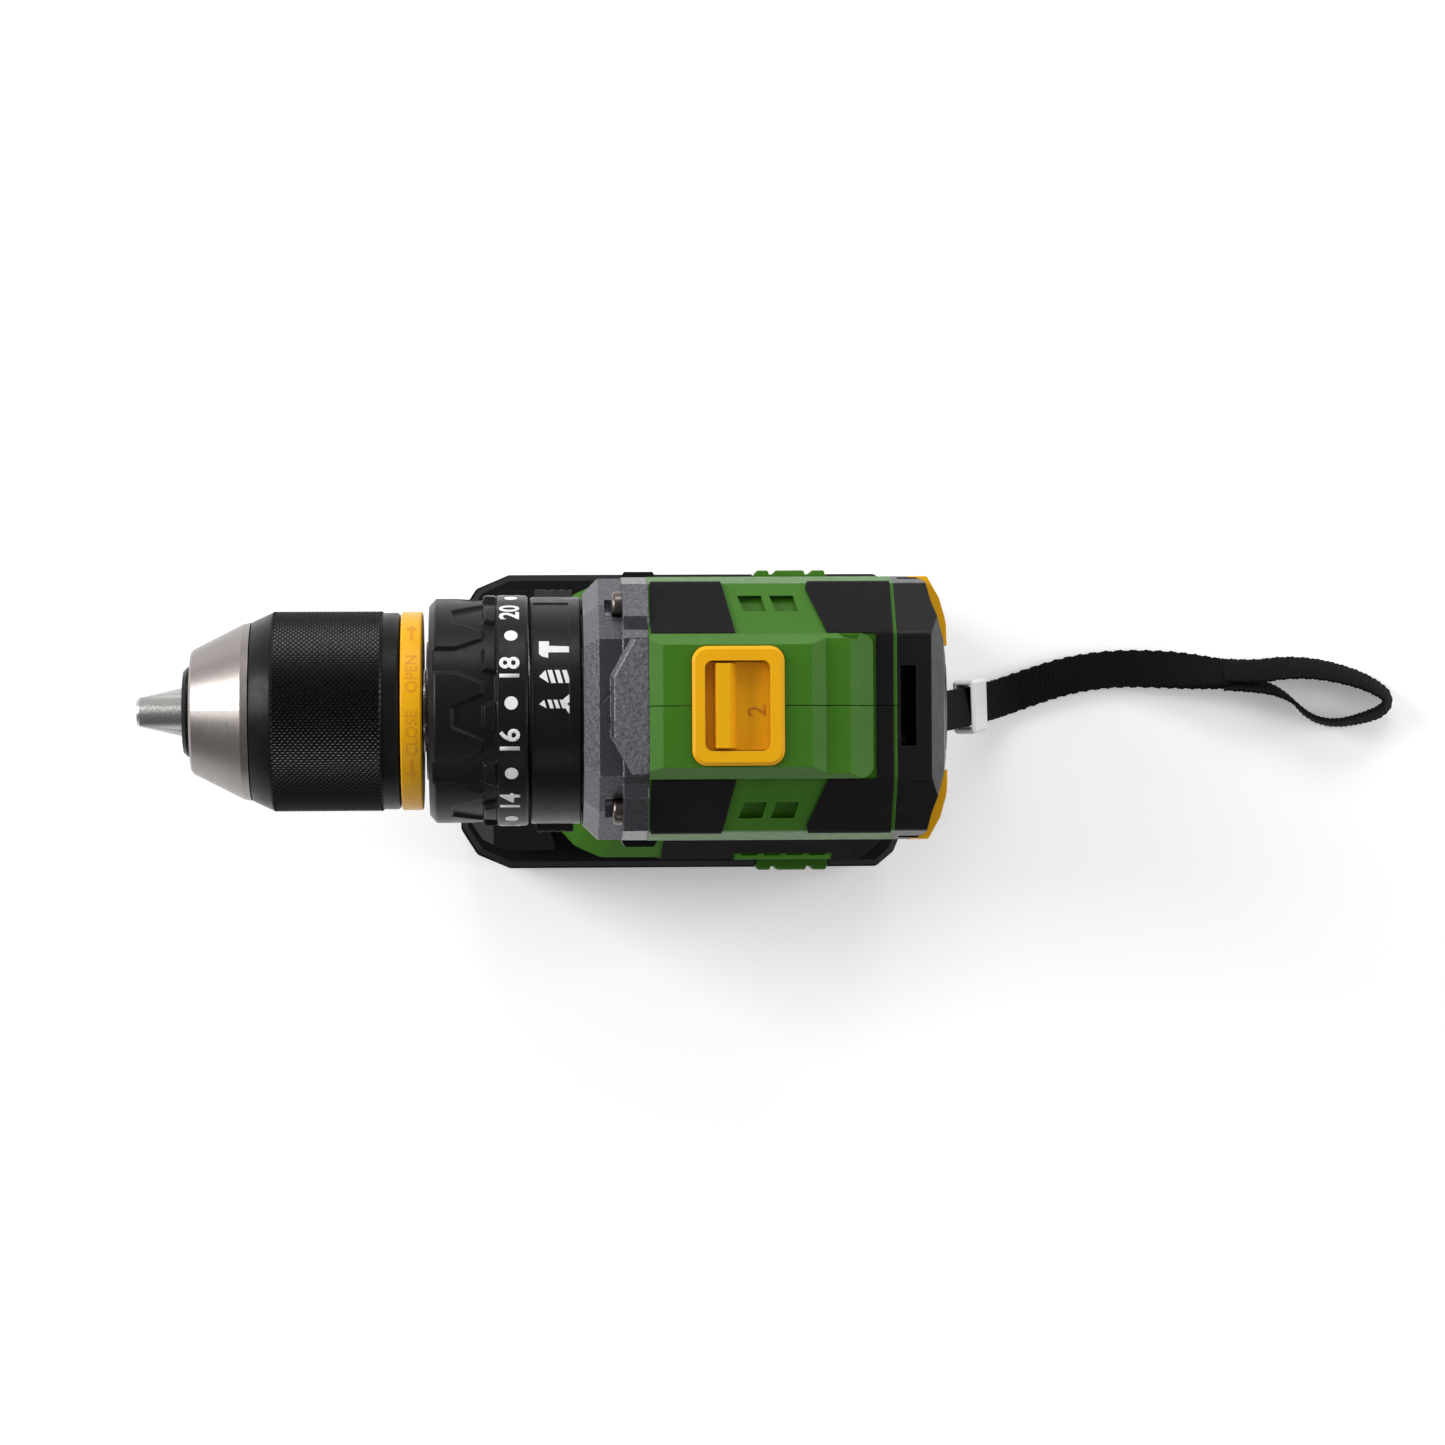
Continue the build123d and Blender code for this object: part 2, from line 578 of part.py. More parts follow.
def stator_windings():
    """Six coils whose ends stand out of the stator's slots."""
    coils = []
    for number in range(6):
        outer = block(3.6, 32.4, -6.2, 6.2, AXIS_Z + 14.0, AXIS_Z + 19.8)
        tooth = block(5.9, 30.1, -7, 7, AXIS_Z + 13, AXIS_Z + 21)
        ends = outer - tooth
        coils.append(about_axis(ends, 60 * number))
    sides = []
    for number in range(6):
        side = block(5.9, 30.1, -4.6, -0.3, AXIS_Z + 14.0, AXIS_Z + 20.0)
        other = block(5.9, 30.1, 0.3, 4.6, AXIS_Z + 14.0, AXIS_Z + 20.0)
        sides.append(about_axis(side, 60 * number + 30))
        sides.append(about_axis(other, 60 * number + 30))
    return group(coils + sides)


def cooling_fan():
    """Radial fan with curved-back blades."""
    disc = ring(34.6, 35.8, 22.6, SHAFT_R + 0.02) + ring(34.6, 39.4, 5.0, SHAFT_R + 0.02)
    for number in range(11):
        blade = Pos(38.6, 3.5, AXIS_Z + 17.2) * Rot(-25, 0, 0) * Box(6.4, 1.0, 10.0)
        disc = disc + about_axis(blade, 360 * number / 11)
    return disc


# ---------------------------------------------------------------- housing
def barrel_section(inset):
    """Outline of the motor barrel without its spine, made smaller by the inset."""
    half = []
    for y, z in SECTION:
        scale = 1 - inset / sqrt(y * y + z * z)
        half.append((y * scale, z * scale))
    return mirrored(half)


def barrel(x0, x1, inset=0.0):
    return prism_x(barrel_section(inset), x0, x1, 1.6)


def spine():
    """Raised ridge along the top: flat, then a step down and a sloping rear end."""
    side_profile = [
        (X_BODY, AXIS_Z + 24), (X_BODY, AXIS_Z + SPINE_TOP - 1.4), (-10.6, AXIS_Z + SPINE_TOP),
        (20.6, AXIS_Z + SPINE_TOP), (23.7, AXIS_Z + 35.6), (28.8, AXIS_Z + 35.6), (33.9, AXIS_Z + 31.6),
        (34.2, AXIS_Z + 24),
    ]
    lengthwise = prism_y(side_profile, -20, 20)
    across = mirrored([(SPINE_W, 22.0), (SPINE_W, 33.6), (SPINE_TOP_W, SPINE_TOP + 0.6)])
    body = prism_x(across, X_BODY, 40.0)
    body = fillet(body.edges().filter_by(Axis.X).group_by(Axis.Z)[-1], 1.2)
    rounded_end = Pos(34.2 - 40, 0, AXIS_Z + 20) * extrude(RectangleRounded(80, 2 * SPINE_W, 3.4), 20)
    nick = prism_z([(25.6, 16.0), (31.4, 16.0), (30.4, 13.9), (27.4, 14.4)], AXIS_Z + 33.0, AXIS_Z + 40)
    return (body & lengthwise & rounded_end) - nick


HANDLE_SECTIONS = [
    # height, centre x, length, width, corner radius
    (161.0, 13.0, 53.0, 42.0, 12.0),
    (148.0, 15.5, 43.0, 36.0, 13.0),
    (128.0, 18.0, 38.0, 32.5, 13.0),
    (104.0, 20.0, 37.0, 33.0, 13.5),
    (84.0, 20.5, 41.0, 35.5, 13.0),
    (69.0, 19.0, 54.0, 44.0, 12.0),
]


def handle(inset=0.0):
    """Grip between the barrel and the foot, lofted through rounded sections."""
    sections = []
    for height, centre, length, width, corner in HANDLE_SECTIONS:
        face = RectangleRounded(length - 2 * inset, width - 2 * inset, corner - inset)
        sections.append(Pos(centre, 0, height) * face)
    return loft(sections)


def foot_plan(inset=0.0):
    half = [(-38.0, 7.0), (-36.4, 16.5), (-32.4, 25.0), (-27.2, 30.6), (-21.0, 33.4), (42.0, 33.7), (50.0, 26.5),
            (50.0, 12.0)]
    middle = 8.0
    shrunk = [(middle + (x - middle) * (1 - inset / 43), y * (1 - inset / 33.7)) for x, y in half]
    return shrunk + [(x, -y) for x, y in reversed(shrunk)]


def foot(inset=0.0):
    """Broad foot that the battery slides under, with a sloping upper edge."""
    shoulder = FOOT_TOP - 5.0 - inset
    lower = prism_z(foot_plan(inset), FOOT_Z, shoulder, 3.0)
    low_face = Pos(0, 0, shoulder) * closed_face(foot_plan(inset), 3.0)
    top_face = Pos(0, 0, FOOT_TOP - inset) * closed_face(foot_plan(inset + 5.0), 3.0)
    return lower + loft([low_face, top_face])


def foot_bar():
    """Green bar with four pockets on the foot's right side."""
    bar = chamfer(block(11.7, 35.0, 29.4, 34.2, 59.0, 68.4).edges().filter_by(Axis.X).group_by(Axis.Z)[-1], 0.5)
    for number in range(4):
        x = 13.2 + 5.5 * number
        bar = bar - block(x, x + 3.9, 30.4, 33.2, 67.0, 70.0)
    return bar


def housing_outer():
    grip = handle() - block(X_CAP, 60, -40, 40, 150, 240)
    body = barrel(X_BODY, X_CAP) + spine() + grip + foot() + foot_bar() + flipped(foot_bar())
    chin = prism_y([(X_BODY, 152.5), (X_BODY, 162), (4, 162), (4, 149.5), (-6.0, 149.5)], -15, 15)
    chin = fillet(chin.edges().filter_by(Axis.Z), 2.0)
    return body + chin


def housing_outer_core():
    """Space inside the barrel's and handle's outer faces, where screw bosses may stand."""
    return handle(1.0) + (barrel(X_BODY, X_CAP, 1.0) - rod(X_BODY, X_CAP, MOTOR_BORE_R - 1))


LIGHT_Z = -33.9           # height of the work light, from the tool axis


def battery_channel():
    """Space that the battery's rails slide in; it opens at the foot's front."""
    neck = block(-60, 46.4, -22.5, 22.5, FOOT_Z - 1, 61.2)
    head = block(-60, 46.4, -26.0, 26.0, 60.2, 65.6)
    return neck + head


def selector_space():
    """Slot for the speed selector's plate, its window and the fork's path to the gears."""
    plate = block(-9.2, 17.8, -9.6, 9.6, AXIS_Z + 33.4, AXIS_Z + 36.3)
    frame_seat = Pos(5.1, 0, AXIS_Z + 36.2) * extrude(RectangleRounded(19.6, 25.3, 3.3), 4)
    path = block(X_BODY - 1, 17.0, -6.4, 6.4, AXIS_Z + 20, AXIS_Z + 34)
    return plate + frame_seat + path


def vent_slots():
    """Rows of slanted cooling slots through both sides of the barrel."""
    slots = []
    for number in range(9):
        slot = Pos(-8.2 + 4.75 * number, 0, AXIS_Z + 3.0) * Rot(0, 18, 0) * Box(2.4, 80, 11.0)
        slots.append(slot)
    return join(slots)


def shoulder_windows():
    """Two pockets with slanted ends in each green shoulder."""
    skin = barrel(X_BODY, X_CAP, -1.0) - barrel(X_BODY, X_CAP, 1.5)
    cuts = []
    for x in (5.6, 12.4):
        outline = [(x, 23.6), (x + 5.1, 23.6), (x + 6.0, 20.2), (x + 1.3, 20.2)]
        pocket = prism_z(outline, AXIS_Z + 20, AXIS_Z + 32) & skin
        cuts.extend([pocket, flipped(pocket)])
    return cuts


def housing_cavity():
    motor = rod(X_BODY - 1, X_CAP + 1, MOTOR_BORE_R)
    gear_space = rod(X_BODY - 1, -3.0, 21.6)
    grip = handle(WALL) & block(-30, 60, -40, 40, 64, 175)
    electronics = prism_z(foot_plan(2.6), FOOT_Z + 9.4, FOOT_TOP - 2.6) & block(-31, 46.4, -40, 40, 60, 75)
    trigger_mouth = block(-20, SWITCH_X, -7.6, 7.6, TRIGGER_Z[0] - 0.4, TRIGGER_Z[1] + 0.4)
    return motor + gear_space + grip + electronics + trigger_mouth


def pad_regions():
    """Plan outlines of the black soft pads on one side of the barrel, front and rear."""
    front = [(X_BODY + 0.5, 15.4), (4.9, 15.4), (2.6, 25.2), (0.9, 31.0), (X_BODY + 0.5, 31.0)]
    rear = [(24.4, 15.4), (34.6, 15.4), (34.6, -0.5), (38.2, -0.5), (38.2, 31.0), (21.6, 31.0), (20.2, 25.2)]
    return front, rear


def pads(inset):
    """Soft pads of one side's shoulder, at a depth below their outer face."""
    skin = barrel(X_BODY, X_CAP, inset)
    shapes = []
    for outline in pad_regions():
        shapes.append(prism_z(outline, AXIS_Z + 21.8, AXIS_Z + 40) & skin)
    return shapes


def grip_patch(depth):
    """Soft cover of half of the handle, from below the trigger to the foot."""
    region = prism_y([(40.5, 150), (24, 150), (16, 140), (12, 122), (0, 118), (-6, 104), (-4, 76), (-7, 73),
                      (60, 73), (60, 120), (50, 150)], 0, 40)
    return handle(depth) & region


def foot_patch(depth):
    """Soft skin on one side of the foot, behind its green front and round the green bar."""
    region = prism_y([(-7.8, 56), (60, 56), (60, 80), (-4.5, 80)], 24.0, 40.0)
    bar = block(11.2, 35.5, 20, 40, 56, 69)
    return (foot(depth) & region) - bar


def soft_skins(outset):
    """Every soft piece of one side, from `outset` above the housing's surface to 0.9 mm below it."""
    grip = (grip_patch(-outset) - grip_patch(0.9)) - barrel(X_BODY, X_CAP) - foot()
    skirt = foot_patch(-outset) - foot(0.9)
    core = barrel(X_BODY - 1, X_CAP + 1, 1.0)
    return [pad - core for pad in pads(-outset)] + [grip, skirt]


def overmould(side):
    """Black soft pads and grip cover bonded to one housing half."""
    solids = []
    for shape in soft_skins(0.5):
        kept = shape & block(-60, 80, SEAM, 60, FOOT_Z + 0.4, 230)
        kept = kept if side > 0 else flipped(kept) - screw_wells()
        solids.extend([s for s in kept.solids() if s.volume > 5])
    return Compound(children=solids)


def screw_wells():
    """Round wells that the housing screws' heads sink into, from the left side."""
    return join([rod_y(-60, -10.2, SCREW_HEAD_R + 0.3, x, z) for x, z in HOUSING_SCREWS])


def housing_half(side, shell):
    """One half of the clamshell, cut from the whole shell."""
    half = block(-80, 80, SEAM, 60, 40, 240)
    return shell & (half if side > 0 else flipped(half))


def housing_shell():
    """Both housing halves in one piece, before they are parted."""
    shell = housing_outer() - housing_cavity() - battery_channel() - selector_space()
    shell = shell - (vent_slots() - rod(X_BODY, X_CAP, 22))
    for cut in shoulder_windows():
        shell = shell - cut
    for skin in soft_skins(0.6):
        shell = shell - skin - flipped(skin)
    shell = shell - block(-6.6, 6.6, -40, 40, 149.9, 156.4)
    for x, z in HOUSING_SCREWS:
        shell = shell + (rod_y(-14, 14, 4.2, x, z) & housing_outer_core())
        shell = shell - rod_y(-20, 9.0, SCREW_R + 0.05, x, z)
    shell = shell - screw_wells()
    for y, z in CASE_SCREWS:
        shell = shell - rod(X_BODY - 1, -4.0, SCREW_R + 0.05, y, z)
    for y, z in CAP_SCREWS:
        shell = shell - rod(30.0, X_CAP + 1, SCREW_R + 0.05, y, z)
    shell = shell - rod(-15, -8.8, 3.3, 0, LIGHT_Z)
    shell = shell - block(46, 52, -5.6, 5.6, 64.2, 67.8)
    return shell


# ---------------------------------------------------------------- rear cap
def cap_profile(inset):
    """Side view of the cap: a flat top and a sloping rear, with the bottom tucked in."""
    side = [(X_CAP, 222.0), (X_CAP, 152.0), (45.0, 156.8 + inset), (49.5, 163.0 + inset), (X_REAR - inset, 175.0),
            (X_REAR - inset, 197.0), (49.5, 211.5 - inset), (46.3, 218.0 - inset)]
    return prism_y(side, -40, 40)


def cap_solid(inset=0.0):
    """Rear cap's volume inside its guards: the barrel's section with the corners cut off in plan."""
    plan = [(X_CAP, 31.0), (X_CAP + 4.0, 29.4 - inset), (45.9 - inset, 26.8 - inset), (46.7 - inset, 22.6 - inset),
            (48.7 - inset, 16.5), (50.7 - inset, 10.0), (X_REAR - inset, 4.0)]
    plan = plan + [(x, -y) for x, y in reversed(plan)]
    return barrel(X_CAP, X_REAR + 2, inset) & prism_z(plan, 140, 230) & cap_profile(inset)


def guard_region(margin=0.0):
    """Space of the yellow guard on the +Y rear corner, enlarged by a margin where it meets the cap."""
    plan = [(43.0 - margin, 33.0), (43.0 - margin, 22.0), (47.6, 13.4 - margin), (X_REAR + 1, 13.4 - margin),
            (51.6, 14.8), (50.8, 19.4), (49.6, 23.6), (46.8, 28.6), (46.8, 33.0)]
    return prism_z(plan, AXIS_Z - 15.5 - margin, AXIS_Z + 13.5 + margin)


def rear_guards():
    """Two yellow corner guards let into the rear cap."""
    guard = barrel(X_CAP, X_REAR + 2, -0.1) & guard_region() & cap_profile(0.0)
    guard = guard - cap_solid(2.0)
    return group([guard, flipped(guard)])


def rear_cap():
    """Black cap with the rear bearing seat, cooling slots and recesses for screws and guards."""
    shape = cap_solid() - rod(X_CAP - 1, 47.0, 24.6)
    shape = shape + ring(41.5, 47.5, 10.4, 8.0)
    shape = shape - block(39.7, 43.1, -8.5, 8.5, AXIS_Z + 18, AXIS_Z + 40)
    for level in range(-3, 4):
        slot = block(40.4, 45.6, -40, 40, AXIS_Z + 5.0 * level - 1.1, AXIS_Z + 5.0 * level + 1.1)
        shape = shape - (slot - block(38, 50, -22, 22, 100, 250) - guard_region() - flipped(guard_region()))
        rear_slot = block(46.0, 54.0, -11, 11, AXIS_Z + 5.4 * level - 1.2, AXIS_Z + 5.4 * level + 1.2)
        shape = shape - (rear_slot - rod(45, 55, 10.4))
    seat = guard_region(0.08) - cap_solid(2.08)
    shape = shape - seat - flipped(seat)
    for y, z in CAP_SCREWS:
        shape = shape - rod(44.6, 56, SCREW_HEAD_R + 0.3, y, z) - rod(38, 46, SCREW_R + 0.05, y, z)
    return shape


# ---------------------------------------------------------------- screws
def screw(length):
    """Pan-head screw standing on its tip: the shank points down, the head's seat is at z = 0."""
    head = Pos(0, 0, SCREW_HEAD_T / 2) * Cylinder(SCREW_HEAD_R, SCREW_HEAD_T)
    head = fillet(head.edges().group_by(Axis.Z)[-1], 0.9)
    socket = extrude(Plane.XY.offset(SCREW_HEAD_T - 1.2) * RegularPolygon(1.35, 6), 2)
    shank = Pos(0, 0, -length / 2) * Cylinder(SCREW_R, length)
    return head + shank - socket


def housing_screws():
    """All the body's screws: four for the gear case, four for the cap, four across the housing."""
    screws = []
    for y, z in CASE_SCREWS:
        screws.append(Pos(-18.8, y, AXIS_Z + z) * Rot(0, -90, 0) * screw(14.0))
    for y, z in CAP_SCREWS:
        screws.append(Pos(44.6, y, AXIS_Z + z) * Rot(0, 90, 0) * screw(13.0))
    for x, z in HOUSING_SCREWS:
        screws.append(Pos(x, -10.2, z) * Rot(90, 0, 0) * screw(18.0))
    return group(screws)


def side_bumpers():
    """Small black bumpers over the joint between the gear case and the housing."""
    plan = [(-18.8, 28.25), (-13.4, 28.25), (-13.4, 28.35), (-11.0, 28.35), (-11.8, 29.7), (-18.0, 29.7)]
    bumper = prism_z(plan, AXIS_Z - 6.5, AXIS_Z + 6.5)
    return group([bumper, flipped(bumper)])


# ---------------------------------------------------------------- speed selector
def selector_frame():
    """Yellow rounded frame round the selector's window."""
    face = Pos(5.1, 0, AXIS_Z + 36.3) * RectangleRounded(19.4, 25.1, 3.2)
    window = Pos(4.95, 0, AXIS_Z + 36.3) * RectangleRounded(13.7, 18.9, 1.6)
    frame = extrude(face - window, 2.9)
    top = frame.faces().sort_by(Axis.Z)[-1]
    return chamfer(top.outer_wire().edges(), 0.7)


def speed_selector():
    """Yellow slider: a plate under the frame with a finger ridge."""
    plate = block(-8.2, 12.4, -9.3, 9.3, AXIS_Z + 34.0, AXIS_Z + 36.1)
    ridge = prism_y([(0.0, AXIS_Z + 36), (0.5, AXIS_Z + 39.6), (3.4, AXIS_Z + 39.6), (4.8, AXIS_Z + 36)], -8.9, 8.9)
    return plate + ridge


def shift_fork():
    """Flat fork that carries the selector's slide to the groove of the shift ring."""
    x_mid = X_SHIFT_RING + SHIFT_RING_WIDTH / 2
    blade = block(x_mid - 0.5, x_mid + 0.5, -5.6, 5.6, AXIS_Z + 17.4, AXIS_Z + 24.6)
    blade = blade - rod(x_mid - 1, x_mid + 1, RING_GEAR_R - 1.0)
    bridge = block(x_mid - 0.5, -2.0, -5.6, 5.6, AXIS_Z + 23.6, AXIS_Z + 24.8)
    riser = block(-3.2, -2.0, -5.6, 5.6, AXIS_Z + 23.6, AXIS_Z + 34.0)
    return blade + bridge + riser


# ---------------------------------------------------------------- handle parts
def trigger():
    """Curved trigger with its guide block and plunger."""
    low, high = TRIGGER_Z
    rear = SWITCH_X - 7.2
    finger = prism_y([(rear, high), (-4.0, high), (-14.6, 148.6), (-16.6, 145.8), (-13.6, 139.5), (-13.4, 134.5),
                      (-14.8, 130.2), (-12.8, 127.4), (-4.0, low), (rear, low)], -7.2, 7.2)
    finger = fillet(finger.edges().filter_by(Plane.XZ).sort_by(Axis.X)[:8], 1.4)
    return finger + rod(rear - 0.2, 14.0, 2.0, z=138.0 - AXIS_Z)


def trigger_switch():
    """Switch module behind the trigger."""
    case = block(SWITCH_X, 31.0, -8.4, 8.4, 126.5, 150.5)
    case = chamfer(case.edges().filter_by(Axis.Y), 1.5)
    case = case - rod(9.0, 22.5, 2.0 + BEARING_GAP, z=138.0 - AXIS_Z)
    return case - rod_y(-14.2, 14.2, 4.4, *HOUSING_SCREWS[0])


def direction_lever():
    """Cross lever above the trigger that sets the direction of rotation."""
    plan = [(-5.4, 17.0), (-3.4, 22.6), (3.4, 22.6), (5.4, 17.0)]
    plan = plan + [(x, -y) for x, y in reversed(plan)]
    bar = prism_z(plan, 150.7, 155.6)
    for side in (-1, 1):
        for x in (-2.0, 0.0, 2.0):
            bar = bar - block(x - 0.35, x + 0.35, side * 22.6 - 0.6, side * 22.6 + 0.6, 150, 156)
    return bar


def work_light():
    """Round lamp in the housing's chin."""
    lamp = rod(-14.4, -9.0, 3.2, 0, LIGHT_Z)
    return fillet(lamp.edges().group_by(Axis.X)[0], 0.8)


def controller_board():
    """Motor controller in the foot, with its power transistors."""
    board = block(-22.0, 12.0, -18.0, 18.0, 66.2, 67.4)
    for number in range(6):
        x = -18.0 + 5.4 * number
        board = board + block(x - 1.8, x + 1.8, -14.0, -8.5, 67.3, 68.9) + block(x - 1.8, x + 1.8, 6.0, 14.0, 67.3, 68.4)
    return board


def tool_terminals():
    """Terminal block at the back of the battery channel, with four blades."""
    shape = block(41.2, 46.2, -20.0, 20.0, 57.0, 65.4)
    for y in (-12.0, -4.0, 4.0, 12.0):
        shape = shape + block(31.0, 41.4, y - 0.4, y + 0.4, 58.4, 64.2)
    return shape


# ---------------------------------------------------------------- battery pack
def battery_plan(inset=0.0):
    half = [(-BATTERY_X + inset, 26.5 - inset), (-51.0 + inset, 32.8 - inset), (-43.0, BATTERY_Y - inset),
            (47.5, BATTERY_Y - inset), (51.8 - inset, 32.6 - inset), (BATTERY_X - inset, 25.0 - inset)]
    return half + [(x, -y) for x, y in reversed(half)]


def button_pocket():
    """Recess of the right release button."""
    return block(17.2, 35.4, 28.2, 40.0, 43.6, 56.4)


def battery_lower_case():
    """Black tub that holds the cells."""
    tub = prism_z(battery_plan(), 0.0, BATTERY_DECK, 2.0)
    tub = chamfer(tub.faces().sort_by(Axis.Z)[0].edges(), 1.8)
    tub = tub - prism_z(battery_plan(PACK_WALL), 2.6, BATTERY_DECK + 1)
    for side in (1, -1):
        for x in (-32.0, -12.0):
            tub = tub - block(x - 7.0, x + 7.0, side * 36.2 - 0.9, side * 36.2 + 0.9, 12.0, 40.0)
    pocket = block(17.2, 35.4, 33.0, 40.0, 43.6, 56.4)
    tub = tub - pocket - flipped(pocket)
    return tub


def battery_upper_case():
    """Black lid with the rails, the terminal slots and the raised nose in front of the foot."""
    lid = prism_z(battery_plan(0.5), BATTERY_DECK, 56.2, 2.0)
    lid = chamfer(lid.faces().sort_by(Axis.Z)[-1].edges(), 1.2)
    lid = lid - prism_z(battery_plan(5.0), BATTERY_DECK - 1, 53.6)
    half = [(-53.6, 23.0), (-49.5, 29.0), (-44.0, 31.6), (-31.6, 31.6), (-33.8, 25.2), (-37.3, 14.2),
            (-38.5, 7.5)]
    nose = prism_z(half + [(x, -y) for x, y in reversed(half)], 55.0, 70.0, 1.0)
    nose = nose & prism_y([(-54.0, 55.0), (-52.6, 60.0), (-47.0, 67.4), (-28.0, 67.4), (-28.0, 55.0)], -40, 40)
    rails = block(-38.5, 40.6, -22.0, 22.0, 56.0, 61.0) + block(-38.5, 40.6, -25.6, 25.6, 60.6, 65.2)
    shape = lid + nose + rails
    for y in (-12.0, -4.0, 4.0, 12.0):
        shape = shape - block(29.0, 42.0, y - 0.9, y + 0.9, 57.6, 64.6)
    shape = shape - button_pocket() - flipped(button_pocket())
    return shape


def battery_cells():
    """Ten cells in two layers, lying across the pack."""
    cells = []
    for layer in range(2):
        for column in range(5):
            x = CELL_MIDDLE_X + (column - 2) * CELL_PITCH
            z = 12.0 + layer * CELL_PITCH
            cells.append(rod_y(-CELL_LENGTH / 2, CELL_LENGTH / 2, CELL_R, x, z))
    return group(cells)


def release_button(side):
    """Ribbed green button on one side of the pack."""
    button = block(17.5, 35.1, 31.0, 35.9, 44.0, 56.0)
    for x0, x1 in ((17.8, 21.0), (22.4, 29.8), (31.3, 34.8)):
        rib = chamfer(block(x0, x1, 35.5, 36.9, 44.4, 55.6).edges().group_by(Axis.Y)[-1], 0.4)
        button = button + rib
    return button if side > 0 else flipped(button)


# ---------------------------------------------------------------- wrist strap
def bend_radii(points):
    """Radius of the arc at each inner point of a route."""
    radii = []
    for before, point, after in zip(points, points[1:], points[2:]):
        run_in = Vector(*point) - Vector(*before)
        run_out = Vector(*after) - Vector(*point)
        half_turn = radians(run_in.get_angle(run_out)) / 2
        radii.append(0.45 * min(run_in.length, run_out.length) / tan(half_turn))
    return radii


def ribbon(points, width, thickness, flat_way):
    """Flat band along a route of straight runs and tangent arcs."""
    radii = bend_radii(points)
    path = FilletPolyline(*[Vector(*p) for p in points], radius=radii)
    section = Plane(origin=path @ 0, x_dir=flat_way, z_dir=path % 0) * Rectangle(width, thickness)
    band = sweep(section, path=path)
    print("strap", len(points), "points, length", round(path.length, 1), "radii", [round(r, 1) for r in radii],
          "volume", round(band.volume, 1), "section times length", round(width * thickness * path.length, 1))
    return band


def strap_tail():
    """The two layers of webbing from the foot down to the surface, lying on each other."""
    return ribbon(STRAP_ROUTE, STRAP_W, 2 * STRAP_T, (0, 1, 0))


def strap_loop():
    """The end of the strap, where the webbing parts and lies on its edge in a small loop."""
    return ribbon(LOOP_ROUTE, STRAP_W, STRAP_T, (0, 0, 1))


def strap_clip():
    """Grey slider on the strap."""
    low, high = Vector(*STRAP_ROUTE[6]), Vector(*STRAP_ROUTE[5])
    along = (high - low).normalized()
    middle = (low + high) / 2
    plane = Plane(origin=middle, x_dir=Vector(0, 1, 0), z_dir=along)
    body = plane * Box(13.6, 5.8, 11.0)
    body = chamfer(body.edges(), 0.7)
    return body - (plane * Box(STRAP_W + 1.4, 2 * STRAP_T + 1.5, 20))


# ---------------------------------------------------------------- writing the parts
def all_parts():
    shell = housing_shell()
    parts = {
        "chuck_body": chuck_body(),
        "chuck_nose_cone": chuck_nose_cone(),
        "chuck_sleeve": chuck_sleeve(),
        "chuck_nut": chuck_nut(),
        "chuck_thrust_bearing": chuck_thrust_bearing(),
        "chuck_rear_ring": chuck_rear_ring(),
        "output_spindle": output_spindle(),
        "hammer_ratchet_rotating": hammer_ratchet_rotating(),
        "hammer_ratchet_fixed": hammer_ratchet_fixed(),
        "ball_bearings": ball_bearings(),
        "clutch_spring": clutch_spring(),
        "clutch_nut": clutch_nut(),
        "torque_collar": torque_collar(),
        "mode_collar": mode_collar(),
        "gear_case": gear_case(),
        "gearbox_cover": gearbox_cover(),
        "fixed_ring_gears": fixed_ring_gears(),
        "shift_ring": shift_ring(),
        "output_carrier": output_carrier(),
        "middle_carrier": middle_carrier(),
        "middle_planets": middle_planets(),
        "first_carrier": first_carrier(),
        "rotor_shaft": rotor_shaft(),
        "rotor_core": rotor_core(),
        "stator_core": stator_core(),
        "stator_windings": stator_windings(),
        "cooling_fan": cooling_fan(),
        "housing_right": housing_half(1, shell),
        "housing_left": housing_half(-1, shell),
        "overmould_right": overmould(1),
        "overmould_left": overmould(-1),
        "housing_screws": housing_screws(),
        "side_bumpers": side_bumpers(),
        "rear_cap": rear_cap(),
        "rear_guards": rear_guards(),
        "selector_frame": selector_frame(),
        "speed_selector": speed_selector(),
        "shift_fork": shift_fork(),
        "trigger": trigger(),
        "trigger_switch": trigger_switch(),
        "direction_lever": direction_lever(),
        "work_light": work_light(),
        "tool_electronics": group([controller_board(), tool_terminals()]),
        "battery_lower_case": battery_lower_case(),
        "battery_upper_case": battery_upper_case(),
        "battery_cells": battery_cells(),
        "release_button_right": release_button(1),
        "release_button_left": release_button(-1),
        "strap_tail": strap_tail(),
        "strap_loop": strap_loop(),
        "strap_clip": strap_clip(),
    }
    for number in range(3):
        parts[f"chuck_jaw_{number + 1}"] = chuck_jaw(number)
    return parts


def planets():
    """Planets that turn on their own: three of the first stage and three of the output stage."""
    parts = {}
    for number in range(3):
        parts[f"first_planet_{number + 1}"] = planet(number, X_FIRST_GEARS, -7.4)
        parts[f"output_planet_{number + 1}"] = planet(number, X_OUT_GEARS + 0.1, -22.0)
    return parts


if __name__ == "__main__":
    os.makedirs("parts", exist_ok=True)
    for node, shape in (all_parts() | planets()).items():
        export_step(shape, f"parts/{node}.step")
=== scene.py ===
"""Looks of the cordless drill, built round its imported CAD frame.

Places and sizes are worked out in millimetres in the part's own frame (+Z up, chuck towards -X) and turned
into Blender's metres when a mesh is made.
"""
import json
import math

import bmesh
import bpy
from mathutils import Matrix, Vector


